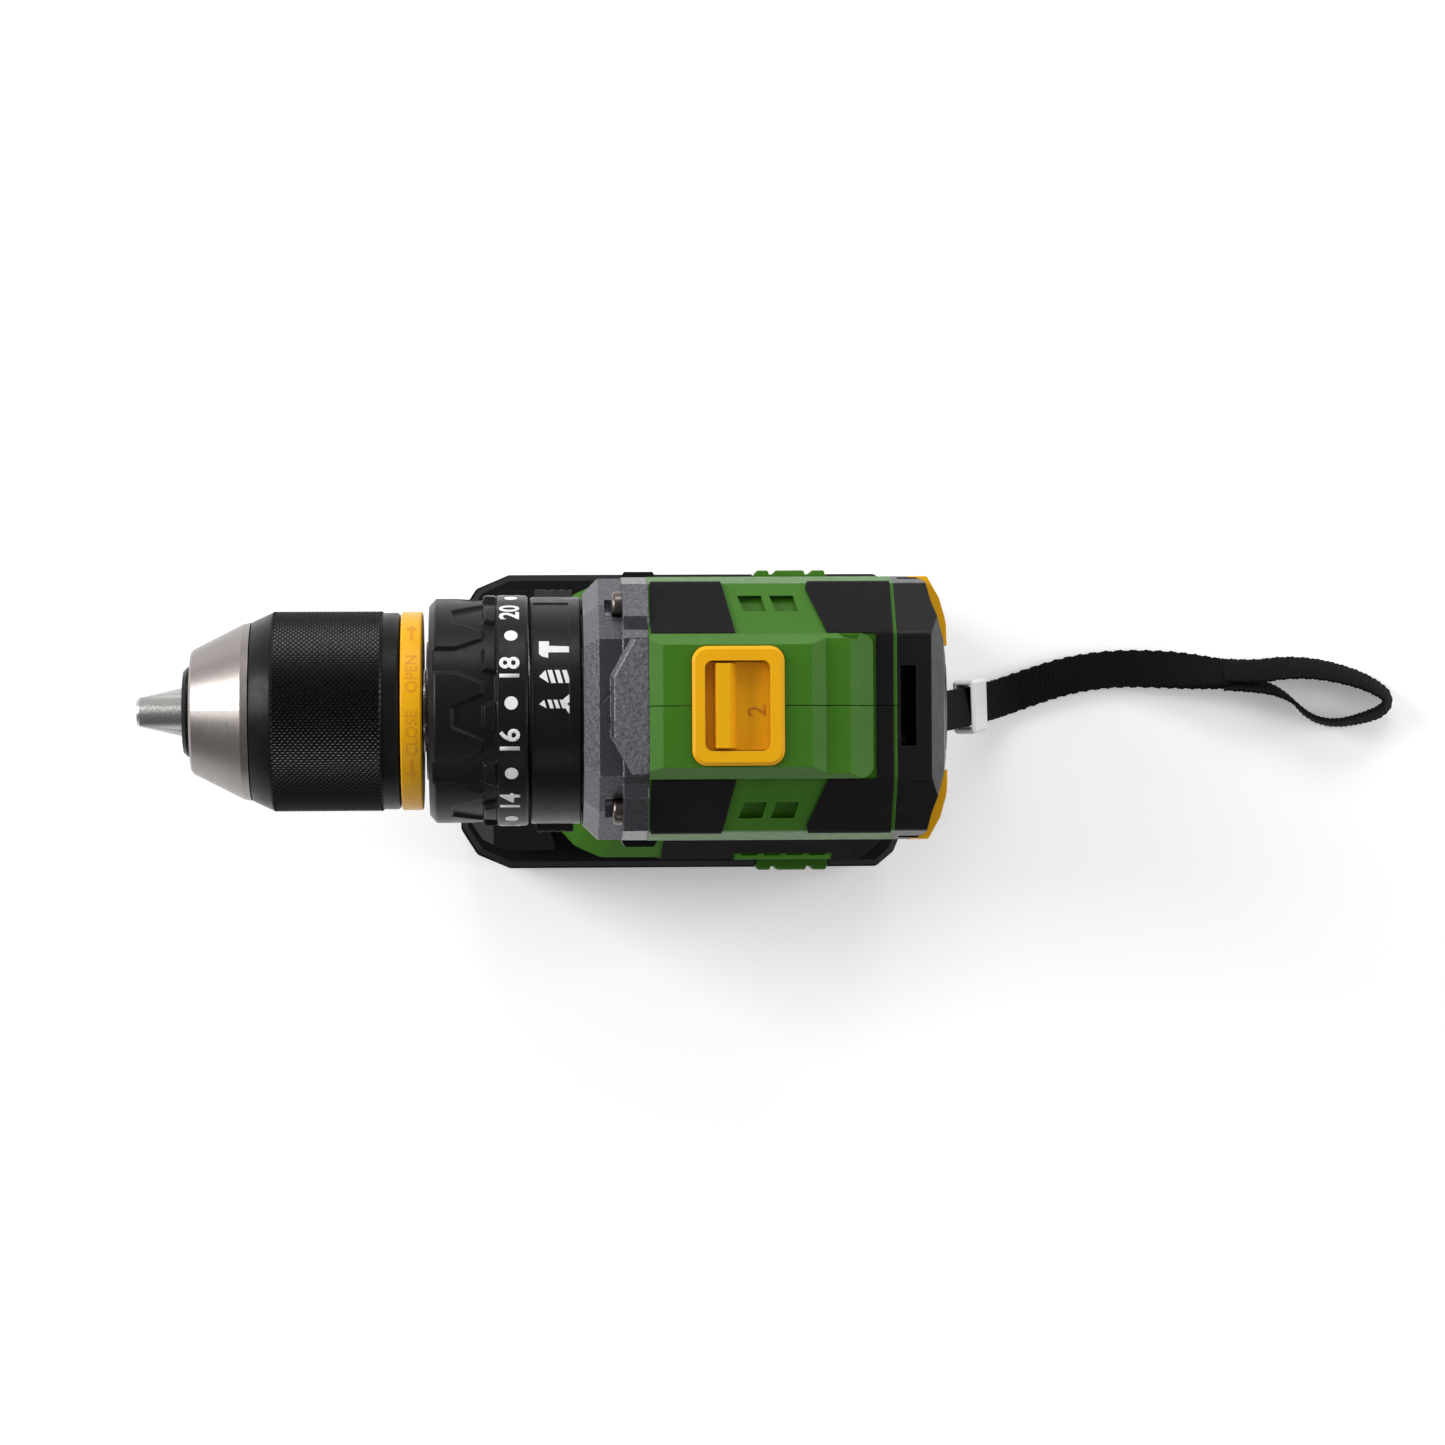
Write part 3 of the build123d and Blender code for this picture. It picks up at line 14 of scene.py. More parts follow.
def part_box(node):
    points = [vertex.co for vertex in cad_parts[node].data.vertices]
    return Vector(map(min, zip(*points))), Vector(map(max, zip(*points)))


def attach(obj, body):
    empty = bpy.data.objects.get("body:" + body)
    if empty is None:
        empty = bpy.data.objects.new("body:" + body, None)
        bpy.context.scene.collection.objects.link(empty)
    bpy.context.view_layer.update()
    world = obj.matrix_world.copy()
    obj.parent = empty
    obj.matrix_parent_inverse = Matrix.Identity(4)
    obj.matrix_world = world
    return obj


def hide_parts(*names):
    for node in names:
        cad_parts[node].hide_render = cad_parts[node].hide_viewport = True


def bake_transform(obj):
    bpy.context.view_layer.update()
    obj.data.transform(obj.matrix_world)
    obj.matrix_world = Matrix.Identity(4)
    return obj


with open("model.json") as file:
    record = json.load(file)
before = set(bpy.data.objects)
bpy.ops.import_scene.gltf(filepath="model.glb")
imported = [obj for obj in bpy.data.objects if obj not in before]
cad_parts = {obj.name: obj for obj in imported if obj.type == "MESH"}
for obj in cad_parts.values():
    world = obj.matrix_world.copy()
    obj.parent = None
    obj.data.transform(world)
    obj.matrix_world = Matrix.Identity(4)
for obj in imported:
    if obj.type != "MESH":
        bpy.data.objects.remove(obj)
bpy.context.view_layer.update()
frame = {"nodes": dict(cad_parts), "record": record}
NODES = frame["nodes"]
RECORD = frame["record"]
SLOT_OF = {part["node"]: part["material_slot"] for part in RECORD["subparts"]}

MM = 0.001
AXIS_Z = next(m["pos_m"][2] for m in RECORD["mounts"] if m["name"] == "chuck_grip") / MM


def limits(node):
    """Lowest and highest corner of a CAD node, in millimetres."""
    low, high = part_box(node)
    return low / MM, high / MM


# ---------------------------------------------------------------- camera and stage
FLOOR_Z = -0.0004         # metres: just under the drill, so that nothing shares a plane with it
FLOOR_HALF = 6.0          # metres


def make_camera():
    """Camera about a metre above the tool axis, looking almost straight down with a long lens."""
    camera = bpy.data.objects.new("camera", bpy.data.cameras.new("camera"))
    bpy.context.collection.objects.link(camera)
    right = Vector((0.998962, -0.005696, 0.045198))
    up = Vector((0.004914, 0.999836, 0.017398))
    back = Vector((-0.045290, -0.017158, 0.998826))
    turn = Matrix((right, up, back)).transposed()
    camera.matrix_world = Matrix.Translation((-0.0416, -0.0199, 1.181)) @ turn.to_4x4()
    camera.data.lens = 114
    camera.data.sensor_width = 36
    camera.data.clip_end = 20
    bpy.context.scene.camera = camera


def make_light(name, place, aim, size, watts):
    """White softbox at a place, facing a point."""
    light = bpy.data.lights.new(name, "AREA")
    light.shape = "RECTANGLE"
    light.size, light.size_y = size
    light.energy = watts
    lamp = bpy.data.objects.new(name, light)
    lamp.location = place
    lamp.rotation_euler = (Vector(aim) - Vector(place)).to_track_quat("-Z", "Y").to_euler()
    bpy.context.collection.objects.link(lamp)


def make_surroundings():
    """A white room: bright near the horizon, dimmer overhead and on the -Y side."""
    world = bpy.data.worlds.new("world")
    bpy.context.scene.world = world
    world.use_nodes = True
    tree = world.node_tree
    place = tree.nodes.new("ShaderNodeTexCoord").outputs["Generated"]
    height = tree.nodes.new("ShaderNodeSeparateXYZ")
    tree.links.new(place, height.inputs[0])
    fade = tree.nodes.new("ShaderNodeMapRange")
    tree.links.new(height.outputs["Z"], fade.inputs["Value"])
    fade.inputs["From Min"].default_value = 0.0
    fade.inputs["From Max"].default_value = 0.95
    fade.inputs["To Min"].default_value = 0.90
    fade.inputs["To Max"].default_value = 0.36
    sideways = tree.nodes.new("ShaderNodeMapRange")
    tree.links.new(height.outputs["Y"], sideways.inputs["Value"])
    sideways.inputs["From Min"].default_value = -0.9
    sideways.inputs["From Max"].default_value = 0.5
    sideways.inputs["To Min"].default_value = 0.22
    sideways.inputs["To Max"].default_value = 1.0
    both = tree.nodes.new("ShaderNodeMath")
    both.operation = "MULTIPLY"
    tree.links.new(fade.outputs["Result"], both.inputs[0])
    tree.links.new(sideways.outputs["Result"], both.inputs[1])
    tree.links.new(both.outputs["Value"], tree.nodes["Background"].inputs["Strength"])
    tree.nodes["Background"].inputs["Color"].default_value = (1, 1, 1, 1)


def make_stage():
    """White paper floor under the drill."""
    mesh = bpy.data.meshes.new("floor")
    floor = bpy.data.objects.new("floor", mesh)
    bpy.context.collection.objects.link(floor)
    bm = bmesh.new()
    bmesh.ops.create_grid(bm, x_segments=1, y_segments=1, size=FLOOR_HALF)
    bm.to_mesh(mesh)
    bm.free()
    floor.location.z = FLOOR_Z
    paper = bpy.data.materials.new("paper")
    paper.use_nodes = True
    shader = paper.node_tree.nodes["Principled BSDF"]
    shader.inputs["Base Color"].default_value = (0.93, 0.93, 0.93, 1)
    shader.inputs["Roughness"].default_value = 0.9
    shader.inputs["Specular IOR Level"].default_value = 0.1
    shader.inputs["Emission Color"].default_value = (1, 1, 1, 1)
    shader.inputs["Emission Strength"].default_value = 0.22
    mesh.materials.append(paper)
    make_surroundings()
    bpy.context.scene.view_settings.view_transform = "Standard"


make_camera()
make_stage()
make_light("left_box", (-1.2, 0.35, 0.75), (0, 0, 0.15), (0.7, 0.7), 16)
make_light("right_box", (1.2, 0.1, 0.8), (0, 0, 0.1), (0.8, 0.8), 7.5)
make_light("back_box", (0.1, 1.2, 0.8), (0, 0, 0.12), (1.0, 0.5), 6)
make_light("floor_fill", (0.2, -1.3, 1.2), (0.1, -0.5, 0.0), (0.8, 0.4), 1.5)


# ---------------------------------------------------------------- materials
class Surface:
    """A node material whose colour, roughness and relief come from layers of noise."""

    def __init__(self, name, metallic=0.0, specular=0.5):
        self.material = bpy.data.materials.new(name)
        self.material.use_nodes = True
        self.tree = self.material.node_tree
        self.shader = self.tree.nodes["Principled BSDF"]
        self.shader.inputs["Metallic"].default_value = metallic
        self.shader.inputs["Specular IOR Level"].default_value = specular
        self.place = self.add("ShaderNodeTexCoord").outputs["Object"]
        self.colour = None
        self.relief = None

    def add(self, kind, **settings):
        """New node; a setting is a link, a property of the node or the value of one of its inputs."""
        node = self.tree.nodes.new(kind)
        for key, value in settings.items():
            if isinstance(value, bpy.types.NodeSocket):
                self.tree.links.new(value, node.inputs[key.replace("_", " ")])
            elif key in ("operation", "data_type", "samples"):
                setattr(node, key, value)
            else:
                node.inputs[key.replace("_", " ")].default_value = value
        return node

    def noise(self, scale, detail=2.0, stretch=(1, 1, 1)):
        """Noise with `scale` blobs to the millimetre; a larger `stretch` makes it finer along that axis."""
        mapping = self.add("ShaderNodeMapping", Vector=self.place)
        mapping.inputs["Scale"].default_value = [scale / MM * s for s in stretch]
        texture = self.add("ShaderNodeTexNoise", Vector=mapping.outputs["Vector"], Scale=1.0, Detail=detail)
        return texture.outputs["Fac"]

    def ramp(self, value, low, high, start=0.3, end=0.7):
        """Value stretched from the range start to end into the range low to high."""
        node = self.add("ShaderNodeMapRange", Value=value)
        node.inputs["From Min"].default_value = start
        node.inputs["From Max"].default_value = end
        node.inputs["To Min"].default_value = low
        node.inputs["To Max"].default_value = high
        return node.outputs["Result"]

    def blend_colours(self, factor, first, second):
        """Mix of two colours, each three numbers or another node's output."""
        node = self.add("ShaderNodeMix", data_type="RGBA")
        self.tree.links.new(factor, node.inputs["Factor"])
        for socket, value in ((node.inputs[6], first), (node.inputs[7], second)):
            if isinstance(value, bpy.types.NodeSocket):
                self.tree.links.new(value, socket)
            else:
                socket.default_value = (*value, 1)
        return node.outputs[2]

    def vary_colour(self, colour, scale, amount):
        """Large soft patches, darker and lighter than the base colour."""
        dark = tuple(c * (1 - amount) for c in colour)
        light = tuple(min(1.0, c * (1 + amount)) for c in colour)
        self.set_colour(self.blend_colours(self.ramp(self.noise(scale), 0, 1), dark, light))

    def set_colour(self, socket):
        self.colour = socket
        self.tree.links.new(socket, self.shader.inputs["Base Color"])

    def vary_roughness(self, scale, low, high, detail=3.0, stretch=(1, 1, 1)):
        rough = self.ramp(self.noise(scale, detail, stretch), low, high)
        self.tree.links.new(rough, self.shader.inputs["Roughness"])

    def stack_relief(self, node):
        """Put a node that bends the normal on top of the ones before it."""
        if self.relief is not None:
            self.tree.links.new(self.relief, node.inputs["Normal"])
        self.relief = node.outputs["Normal"]
        self.tree.links.new(self.relief, self.shader.inputs["Normal"])

    def bump(self, height, depth):
        """Add a relief layer; depth is in millimetres."""
        self.stack_relief(self.add("ShaderNodeBump", Height=height, Strength=1.0, Distance=depth * MM))

    def soft_edges(self, radius):
        """Small rounding that every moulded or machined edge has."""
        self.stack_relief(self.add("ShaderNodeBevel", samples=4, Radius=radius * MM))

    def paint_edge_highlight(self, radius, colour, amount):
        """Painted highlight: paler colour where the surface turns sharply, broken up by noise."""
        bevel = self.add("ShaderNodeBevel", samples=4, Radius=radius * MM)
        true_normal = self.add("ShaderNodeNewGeometry").outputs["Normal"]
        dot = self.add("ShaderNodeVectorMath", operation="DOT_PRODUCT")
        self.tree.links.new(bevel.outputs["Normal"], dot.inputs[0])
        self.tree.links.new(true_normal, dot.inputs[1])
        edge = self.ramp(dot.outputs["Value"], 1.0, 0.0, 0.90, 0.995)
        patchy = self.ramp(self.noise(0.9, 4.0), 0.0, amount, 0.42, 0.62)
        both = self.add("ShaderNodeMath", operation="MULTIPLY")
        self.tree.links.new(edge, both.inputs[0])
        self.tree.links.new(patchy, both.inputs[1])
        self.set_colour(self.blend_colours(both.outputs["Value"], self.colour, colour))


def moulded(name, colour, rough, grain_depth=0.012, grain_scale=4.0, variation=0.06, edge=0.25, edge_highlight_colour=None,
            specular=0.45):
    """Moulded plastic: faint colour drift, spark-eroded grain and softly rounded edges."""
    s = Surface(name, specular=specular)
    s.vary_colour(colour, 0.05, variation)
    # painted highlight: paler colour on sharp edges, where a colour for it is given
    if edge_highlight_colour:
        s.paint_edge_highlight(0.35, edge_highlight_colour, 0.5)
    s.vary_roughness(0.4, rough - 0.06, rough + 0.06)
    s.soft_edges(edge)
    s.bump(s.noise(grain_scale, 3.0), grain_depth)
    return s.material


def metal(name, colour, rough, stretch=(1, 1, 1), depth=0.004):
    """Bare metal whose fine relief may be drawn out into the lines of brushing or turning."""
    s = Surface(name, metallic=1.0)
    s.vary_colour(colour, 0.12, 0.06)
    s.vary_roughness(3.0, rough - 0.08, rough + 0.08, 3.0, stretch)
    s.soft_edges(0.2)
    s.bump(s.noise(3.0, 4.0, stretch), depth)
    return s.material


def cast_paint():
    """Dark metallic paint on a die casting, with fine sparkle and orange peel."""
    s = Surface("case_metal", metallic=0.8)
    sparkle = s.ramp(s.noise(5.0, 1.0), 0, 1, 0.55, 0.75)
    s.set_colour(s.blend_colours(sparkle, (0.075, 0.075, 0.084), (0.23, 0.23, 0.26)))
    # painted highlight: pale bluish grey on the case's sharp edges
    s.paint_edge_highlight(0.3, (0.5, 0.5, 0.54), 0.45)
    s.vary_roughness(1.2, 0.22, 0.38)
    s.soft_edges(0.35)
    s.bump(s.noise(0.9, 3.0), 0.05)
    return s.material


def knurl_steel():
    """Blackened steel with bare glints on the knurl's points."""
    s = Surface("knurl_steel", specular=0.2)
    glint = s.ramp(s.noise(2.2, 2.0), 0, 1, 0.52, 0.72)
    s.set_colour(s.blend_colours(glint, (0.004, 0.004, 0.0045), (0.012, 0.012, 0.013)))
    s.vary_roughness(1.5, 0.26, 0.42)
    s.bump(s.noise(4.0, 2.0), 0.01)
    return s.material


def marking_print_and_shade(name, colour):
    """Flat colour of a marking: real print in white, painted shade in the darker ambers on yellow parts."""
    s = Surface(name, specular=0.3)
    s.vary_colour(colour, 0.8, 0.04)
    s.vary_roughness(1.5, 0.4, 0.6)
    s.bump(s.noise(3.0, 2.0), 0.01)
    return s.material


def webbing_material():
    """Black polyester yarn, nearly without gloss."""
    s = Surface("webbing", specular=0.08)
    fibre = s.ramp(s.noise(6.0, 3.0), 0, 1, 0.4, 0.7)
    s.set_colour(s.blend_colours(fibre, (0.0035, 0.0032, 0.0035), (0.010, 0.010, 0.011)))
    s.vary_roughness(2.0, 0.75, 0.95)
    s.bump(s.noise(8.0, 3.0), 0.06)
    return s.material


# The paler edge colours given to some materials below are painted highlights on sharp edges.
MATERIALS = {
    "green_plastic": moulded("green_plastic", (0.043, 0.150, 0.010), 0.42, edge_highlight_colour=(0.09, 0.26, 0.04),
                             specular=0.16),
    "black_plastic": moulded("black_plastic", (0.007, 0.0065, 0.0075), 0.34, edge_highlight_colour=(0.03, 0.03, 0.032),
                             specular=0.17),
    "black_rubber": moulded("black_rubber", (0.0080, 0.0066, 0.0080), 0.5, 0.03, 3.0,
                            edge_highlight_colour=(0.025, 0.025, 0.027), specular=0.09),
    "yellow_plastic": moulded("yellow_plastic", (0.76, 0.375, 0.004), 0.34, 0.004, 3.0, 0.03, specular=0.2),
    "satin_metal": metal("satin_metal", (0.27, 0.244, 0.233), 0.36, (3.0, 0.1, 0.1), 0.003),
    "black_steel": moulded("black_steel", (0.0065, 0.0065, 0.007), 0.33, 0.003, 3.0, 0.05, 0.2,
                           specular=0.12),
    "jaw_steel": metal("jaw_steel", (0.42, 0.41, 0.40), 0.28, (0.3, 2.0, 2.0), 0.004),
    "case_metal": cast_paint(),
    "steel": metal("steel", (0.5, 0.49, 0.48), 0.3),
    "bearing_steel": metal("bearing_steel", (0.7, 0.7, 0.7), 0.16, depth=0.001),
    "lamination": metal("lamination", (0.2, 0.2, 0.21), 0.45, (6.0, 0.2, 0.2), 0.03),
    "copper_winding": metal("copper_winding", (0.50, 0.16, 0.05), 0.35, (5.0, 0.3, 0.3), 0.08),
    "screw_black": metal("screw_black", (0.13, 0.11, 0.10), 0.3, depth=0.002),
    "lamp": moulded("lamp", (0.8, 0.83, 0.86), 0.12, 0.001),
    "electronics": moulded("electronics", (0.02, 0.12, 0.06), 0.4),
    "cell_wrap": moulded("cell_wrap", (0.05, 0.2, 0.45), 0.3),
    "webbing": webbing_material(),
    "clip_grey": moulded("clip_grey", (0.66, 0.66, 0.68), 0.4),
    "fan_brown": moulded("fan_brown", (0.05, 0.014, 0.009), 0.4),
}
WHITE_PRINT = marking_print_and_shade("white_print", (0.76, 0.76, 0.76))
# painted shade: darker amber on the ring's raised letters and arrows
RING_PAINTED_SHADE = marking_print_and_shade("ring_marks_painted_shade", (0.66, 0.27, 0.006))
# painted shade: darker amber on the selector's raised figure
SPEED_PAINTED_SHADE = marking_print_and_shade("speed_number_painted_shade", (0.55, 0.22, 0.005))


def dress_cad_nodes():
    """Give every CAD node the material of its slot."""
    for node, thing in NODES.items():
        thing.data.materials.clear()
        thing.data.materials.append(MATERIALS[SLOT_OF[node]])


dress_cad_nodes()


# ---------------------------------------------------------------- building pieces
def on_axis(x, radius, angle):
    """Point at a radius from the tool axis; the angle, in degrees, runs from the top towards +Y."""
    turn = math.radians(angle)
    return Vector((x, radius * math.sin(turn), AXIS_Z + radius * math.cos(turn)))


def new_piece(name, mesh, slot, body, material=None):
    """A piece that rides a body, with its slot's material unless another is given."""
    piece = bpy.data.objects.new(name, mesh)
    bpy.context.collection.objects.link(piece)
    mesh.materials.clear()
    mesh.materials.append(material or MATERIALS[slot])
    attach(piece, body)
    return piece


def mesh_of(bm, name):
    """The bmesh as a mesh; the bmesh is freed."""
    mesh = bpy.data.meshes.new(name)
    bm.to_mesh(mesh)
    bm.free()
    return mesh


def tube_faces(total, sides):
    """Faces of a closed tube whose points come section by section, with a cap at each end."""
    faces = []
    for low in range(0, total - sides, sides):
        for k in range(sides):
            after = (k + 1) % sides
            faces.append((low + k, low + after, low + after + sides, low + k + sides))
    return faces + [tuple(range(sides)), tuple(range(total - sides, total))]


def solid_mesh(name, points, faces, smooth_angle=None):
    """Mesh from points in millimetres, with its faces turned outwards."""
    mesh = bpy.data.meshes.new(name)
    mesh.from_pydata([p * MM for p in points], [], faces)
    bm = bmesh.new()
    bm.from_mesh(mesh)
    bmesh.ops.recalc_face_normals(bm, faces=bm.faces)
    if smooth_angle:
        for face in bm.faces:
            face.smooth = True
        for edge in bm.edges:
            if len(edge.link_faces) == 2 and edge.calc_face_angle() > math.radians(smooth_angle):
                edge.smooth = False
    bm.to_mesh(mesh)
    bm.free()
    return mesh


def revolved(name, rings, count, smooth_angle=30):
    """Closed band of rings round the tool axis; each ring is a function from angle to (x, radius)."""
    points = []
    for ring in rings:
        for step in range(count):
            angle = 360 * step / count
            x, radius = ring(angle)
            points.append(on_axis(x, radius, angle))
    faces = []
    for row in range(len(rings)):
        here, there = row * count, (row + 1) % len(rings) * count
        for step in range(count):
            after = (step + 1) % count
            faces.append((here + step, here + after, there + after, there + step))
    return solid_mesh(name, points, faces, smooth_angle)


def plain_ring(x, radius):
    """A round ring, for revolved()."""
    return lambda angle: (x, radius)


# ---------------------------------------------------------------- knurled sleeve
SLEEVE = limits("chuck_sleeve")
SLEEVE_R = (SLEEVE[1].y - SLEEVE[0].y) / 2
KNURL_START = SLEEVE[0].x + 4.6
KNURL_END = SLEEVE[1].x - 3.7
KNURL_DEPTH = 0.22        # height of a point over the sleeve's radius, and depth of a groove under it
KNURL_STEPS = 212         # points and grooves round the sleeve
KNURL_ROWS = 42           # and along it


def make_knurl():
    """Diamond knurling: points stand on a net of crossing grooves round the sleeve."""
    points = []
    for row in range(KNURL_ROWS + 1):
        x = KNURL_START + (KNURL_END - KNURL_START) * row / KNURL_ROWS
        for step in range(KNURL_STEPS):
            lift = KNURL_DEPTH if (row + step) % 2 == 0 else -KNURL_DEPTH
            if row in (0, KNURL_ROWS):
                lift = 0.0
            points.append(on_axis(x, SLEEVE_R + lift, 360 * step / KNURL_STEPS))
    faces = []
    for row in range(KNURL_ROWS):
        for step in range(KNURL_STEPS):
            a = row * KNURL_STEPS + step
            b = row * KNURL_STEPS + (step + 1) % KNURL_STEPS
            c, d = b + KNURL_STEPS, a + KNURL_STEPS
            if (row + step) % 2 == 0:
                faces.extend([(a, b, d), (b, c, d)])
            else:
                faces.extend([(a, b, c), (a, c, d)])
    mesh = solid_mesh("knurled_band", points, faces)
    new_piece("knurled_band", mesh, "black_steel", "chuck_sleeve", knurl_steel())


def make_sleeve():
    """The sleeve without its knurling: front taper, a seat under the knurl and the smooth rear band."""
    front, rear = SLEEVE[0].x, SLEEVE[1].x
    profile = [
        (front, 15.4), (front, 19.2), (front + 0.25, 19.45), (KNURL_START - 0.5, SLEEVE_R - 0.25),
        (KNURL_START - 0.05, SLEEVE_R - 0.05), (KNURL_START + 0.1, SLEEVE_R - 0.4),
        (KNURL_END - 0.1, SLEEVE_R - 0.4), (KNURL_END + 0.05, SLEEVE_R - 0.25),
        (KNURL_END + 0.5, SLEEVE_R - 0.2), (rear - 0.5, SLEEVE_R - 0.2), (rear, SLEEVE_R - 0.6),
        (rear, 18.2), (front + 5.9, 18.2), (front + 5.9, 17.6), (front + 0.7, 17.6), (front + 0.7, 15.4),
    ]
    mesh = revolved("sleeve_body", [plain_ring(x, r) for x, r in profile], 180)
    piece = new_piece("sleeve_body", mesh, "black_steel", "chuck_sleeve")
    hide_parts("chuck_sleeve")


# ---------------------------------------------------------------- torque collar
COLLAR = limits("torque_collar")
BAND_R = (COLLAR[1].y - COLLAR[0].y) / 2
LAND_R = BAND_R - 0.65
VALLEY_R = BAND_R - 1.35
LAND_MIDDLE = -4.5        # angle of a land's middle, from the top towards +Y
LANDS = 6
TEETH = 12
TOOTH_ROOT = 11.6         # distances from the collar's front: where the number band's teeth begin,
NUMBERS = 14.5            # where the band is whole
BAND_PLAIN = 19.8         # and where nothing more changes
COLLAR_BORE = 15.3        # radius
COLLAR_STEPS = 720        # points round the collar
COLLAR_PITCH = 0.3        # distance between its rings of points


def land_outline():
    """One grip land, as (distance from the collar's front, angle from the land's middle)."""
    half = [(0.0, 23.2), (5.8, 23.2), (TOOTH_ROOT, 17.4), (TOOTH_ROOT, 11.8), (5.1, 4.95)]
    return half + [(x, -angle) for x, angle in reversed(half)]


def tooth_outline():
    """One tooth on the front edge of the number band."""
    return [(TOOTH_ROOT, -5.6), (TOOTH_ROOT, 5.6), (NUMBERS, 7.7), (NUMBERS, -7.7)]


def inside_by(outline, x, angle):
    """How far a point lies inside a flattened outline, in millimetres; negative outside."""
    scale = math.radians(1) * LAND_R
    place = Vector((x, angle * scale))
    corners = [Vector((cx, ca * scale)) for cx, ca in outline]
    nearest = 1e9
    inside = False
    for a, b in zip(corners, corners[1:] + corners[:1]):
        run = b - a
        share = max(0.0, min(1.0, (place - a).dot(run) / run.length_squared))
        nearest = min(nearest, (place - a - run * share).length)
        if (a.y > place.y) != (b.y > place.y):
            if place.x < a.x + (place.y - a.y) / run.y * run.x:
                inside = not inside
    return nearest if inside else -nearest


def rise(depth, width=0.45):
    """Share of a step's height, from 0 outside its edge to 1 inside."""
    return max(0.0, min(1.0, 0.5 + depth / width))


def off_middle(angle, count):
    """Angle from the middle of the nearest of so many lands or teeth."""
    sector = 360 / count
    return (angle - LAND_MIDDLE + sector / 2) % sector - sector / 2


def collar_radius(depth, angle):
    """Outer radius of the torque collar at a distance from its front."""
    if depth > BAND_PLAIN:
        return BAND_R
    land = rise(inside_by(land_outline(), max(depth, 0.6), off_middle(angle, LANDS)))
    tooth = rise(inside_by(tooth_outline(), depth, off_middle(angle, TEETH)))
    band = max(tooth, rise(depth - NUMBERS))
    radius = max(VALLEY_R + (LAND_R - VALLEY_R) * land, VALLEY_R + (BAND_R - VALLEY_R) * band)
    return min(radius, BAND_R - 2.3 + 1.15 * depth)


def shaped_ring(front, depth):
    """The collar's ring at a distance from its front; the lands repeat, so one land's radii serve for all."""
    share = COLLAR_STEPS // LANDS
    radii = [collar_radius(depth, 360 * k / COLLAR_STEPS) for k in range(share)]
    return lambda angle: (front + depth, radii[round(angle / 360 * COLLAR_STEPS) % share])


def make_torque_collar():
    """Collar with M-shaped grip lands between shallow valleys, and a toothed number band."""
    front, rear = COLLAR[0].x, COLLAR[1].x
    rings = [plain_ring(front, COLLAR_BORE), plain_ring(front, BAND_R - 2.9)]
    for number in range(int((rear - front - 0.4) / COLLAR_PITCH) + 1):
        rings.append(shaped_ring(front, number * COLLAR_PITCH))
    rings.extend([plain_ring(rear, BAND_R - 0.4), plain_ring(rear, 21.6)])
    rings.extend([plain_ring(front + 2.4, 21.6), plain_ring(front + 2.4, COLLAR_BORE)])
    mesh = revolved("collar_shell", rings, COLLAR_STEPS, 50)
    piece = new_piece("collar_shell", mesh, "black_plastic", "torque_collar")
    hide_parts("torque_collar")


# ---------------------------------------------------------------- wrapped markings
BODY_OF_TEXT = 1.42       # font size that gives capitals of height 1
STRIP = 0.7               # a drawing is cut into strips this wide before it is bent
SUNK = 0.02               # a marking starts this far inside the surface that it lies on


def flat_text(letters, height, stroke=0.0):
    """Filled outline of some figures, centred on the origin, as a bmesh in millimetres."""
    curve = bpy.data.curves.new(letters, "FONT")
    curve.body = letters
    curve.align_x = "CENTER"
    curve.align_y = "CENTER"
    curve.size = height * BODY_OF_TEXT
    curve.offset = stroke
    holder = bpy.data.objects.new(letters, curve)
    mesh = bpy.data.meshes.new_from_object(holder)
    bm = bmesh.new()
    bm.from_mesh(mesh)
    bpy.data.objects.remove(holder)
    middle_x = (min(v.co.x for v in bm.verts) + max(v.co.x for v in bm.verts)) / 2
    middle_y = (min(v.co.y for v in bm.verts) + max(v.co.y for v in bm.verts)) / 2
    bmesh.ops.translate(bm, verts=bm.verts, vec=(-middle_x, -middle_y, 0))
    return bm


def flat_shapes(outlines):
    """Flat faces, one for each outline, as a bmesh in millimetres."""
    bm = bmesh.new()
    for outline in outlines:
        bm.faces.new([bm.verts.new((u, v, 0)) for u, v in outline])
    return bm


def thicken(bm, thickness):
    """Make a flat drawing solid, up to a height above its plane."""
    raised = bmesh.ops.extrude_face_region(bm, geom=bm.faces[:])["geom"]
    for thing in raised:
        if isinstance(thing, bmesh.types.BMVert):
            thing.co.z = thickness


def disc_outline(radius):
    """A circle of 24 points."""
    return [(radius * math.cos(k * math.pi / 12), radius * math.sin(k * math.pi / 12)) for k in range(24)]


def wrap(bm, x_middle, radius, angle_middle, thickness):
    """Bend a flat drawing round the tool axis; its left-to-right runs towards +Y and its top to -X."""
    low = min(v.co.x for v in bm.verts)
    high = max(v.co.x for v in bm.verts)
    place = low + STRIP
    while place < high:
        geometry = bm.verts[:] + bm.edges[:] + bm.faces[:]
        bmesh.ops.bisect_plane(bm, geom=geometry, plane_co=(place, 0, 0), plane_no=(1, 0, 0))
        place += STRIP
    thicken(bm, thickness)
    for vertex in bm.verts:
        u, v, w = vertex.co
        angle = angle_middle + math.degrees(u / radius)
        vertex.co = on_axis(x_middle - v, radius + w, angle) * MM
    bmesh.ops.recalc_face_normals(bm, faces=bm.faces)


def wrapped_piece(name, drawings, slot, body, material):
    """One mesh of several wrapped drawings: each is (bmesh, x, radius, angle, thickness)."""
    whole = bmesh.new()
    for bm, x, radius, angle, thickness in drawings:
        wrap(bm, x, radius, angle, thickness)
        part = mesh_of(bm, "part")
        whole.from_mesh(part)
        bpy.data.meshes.remove(part)
    new_piece(name, mesh_of(whole, name), slot, body, material)


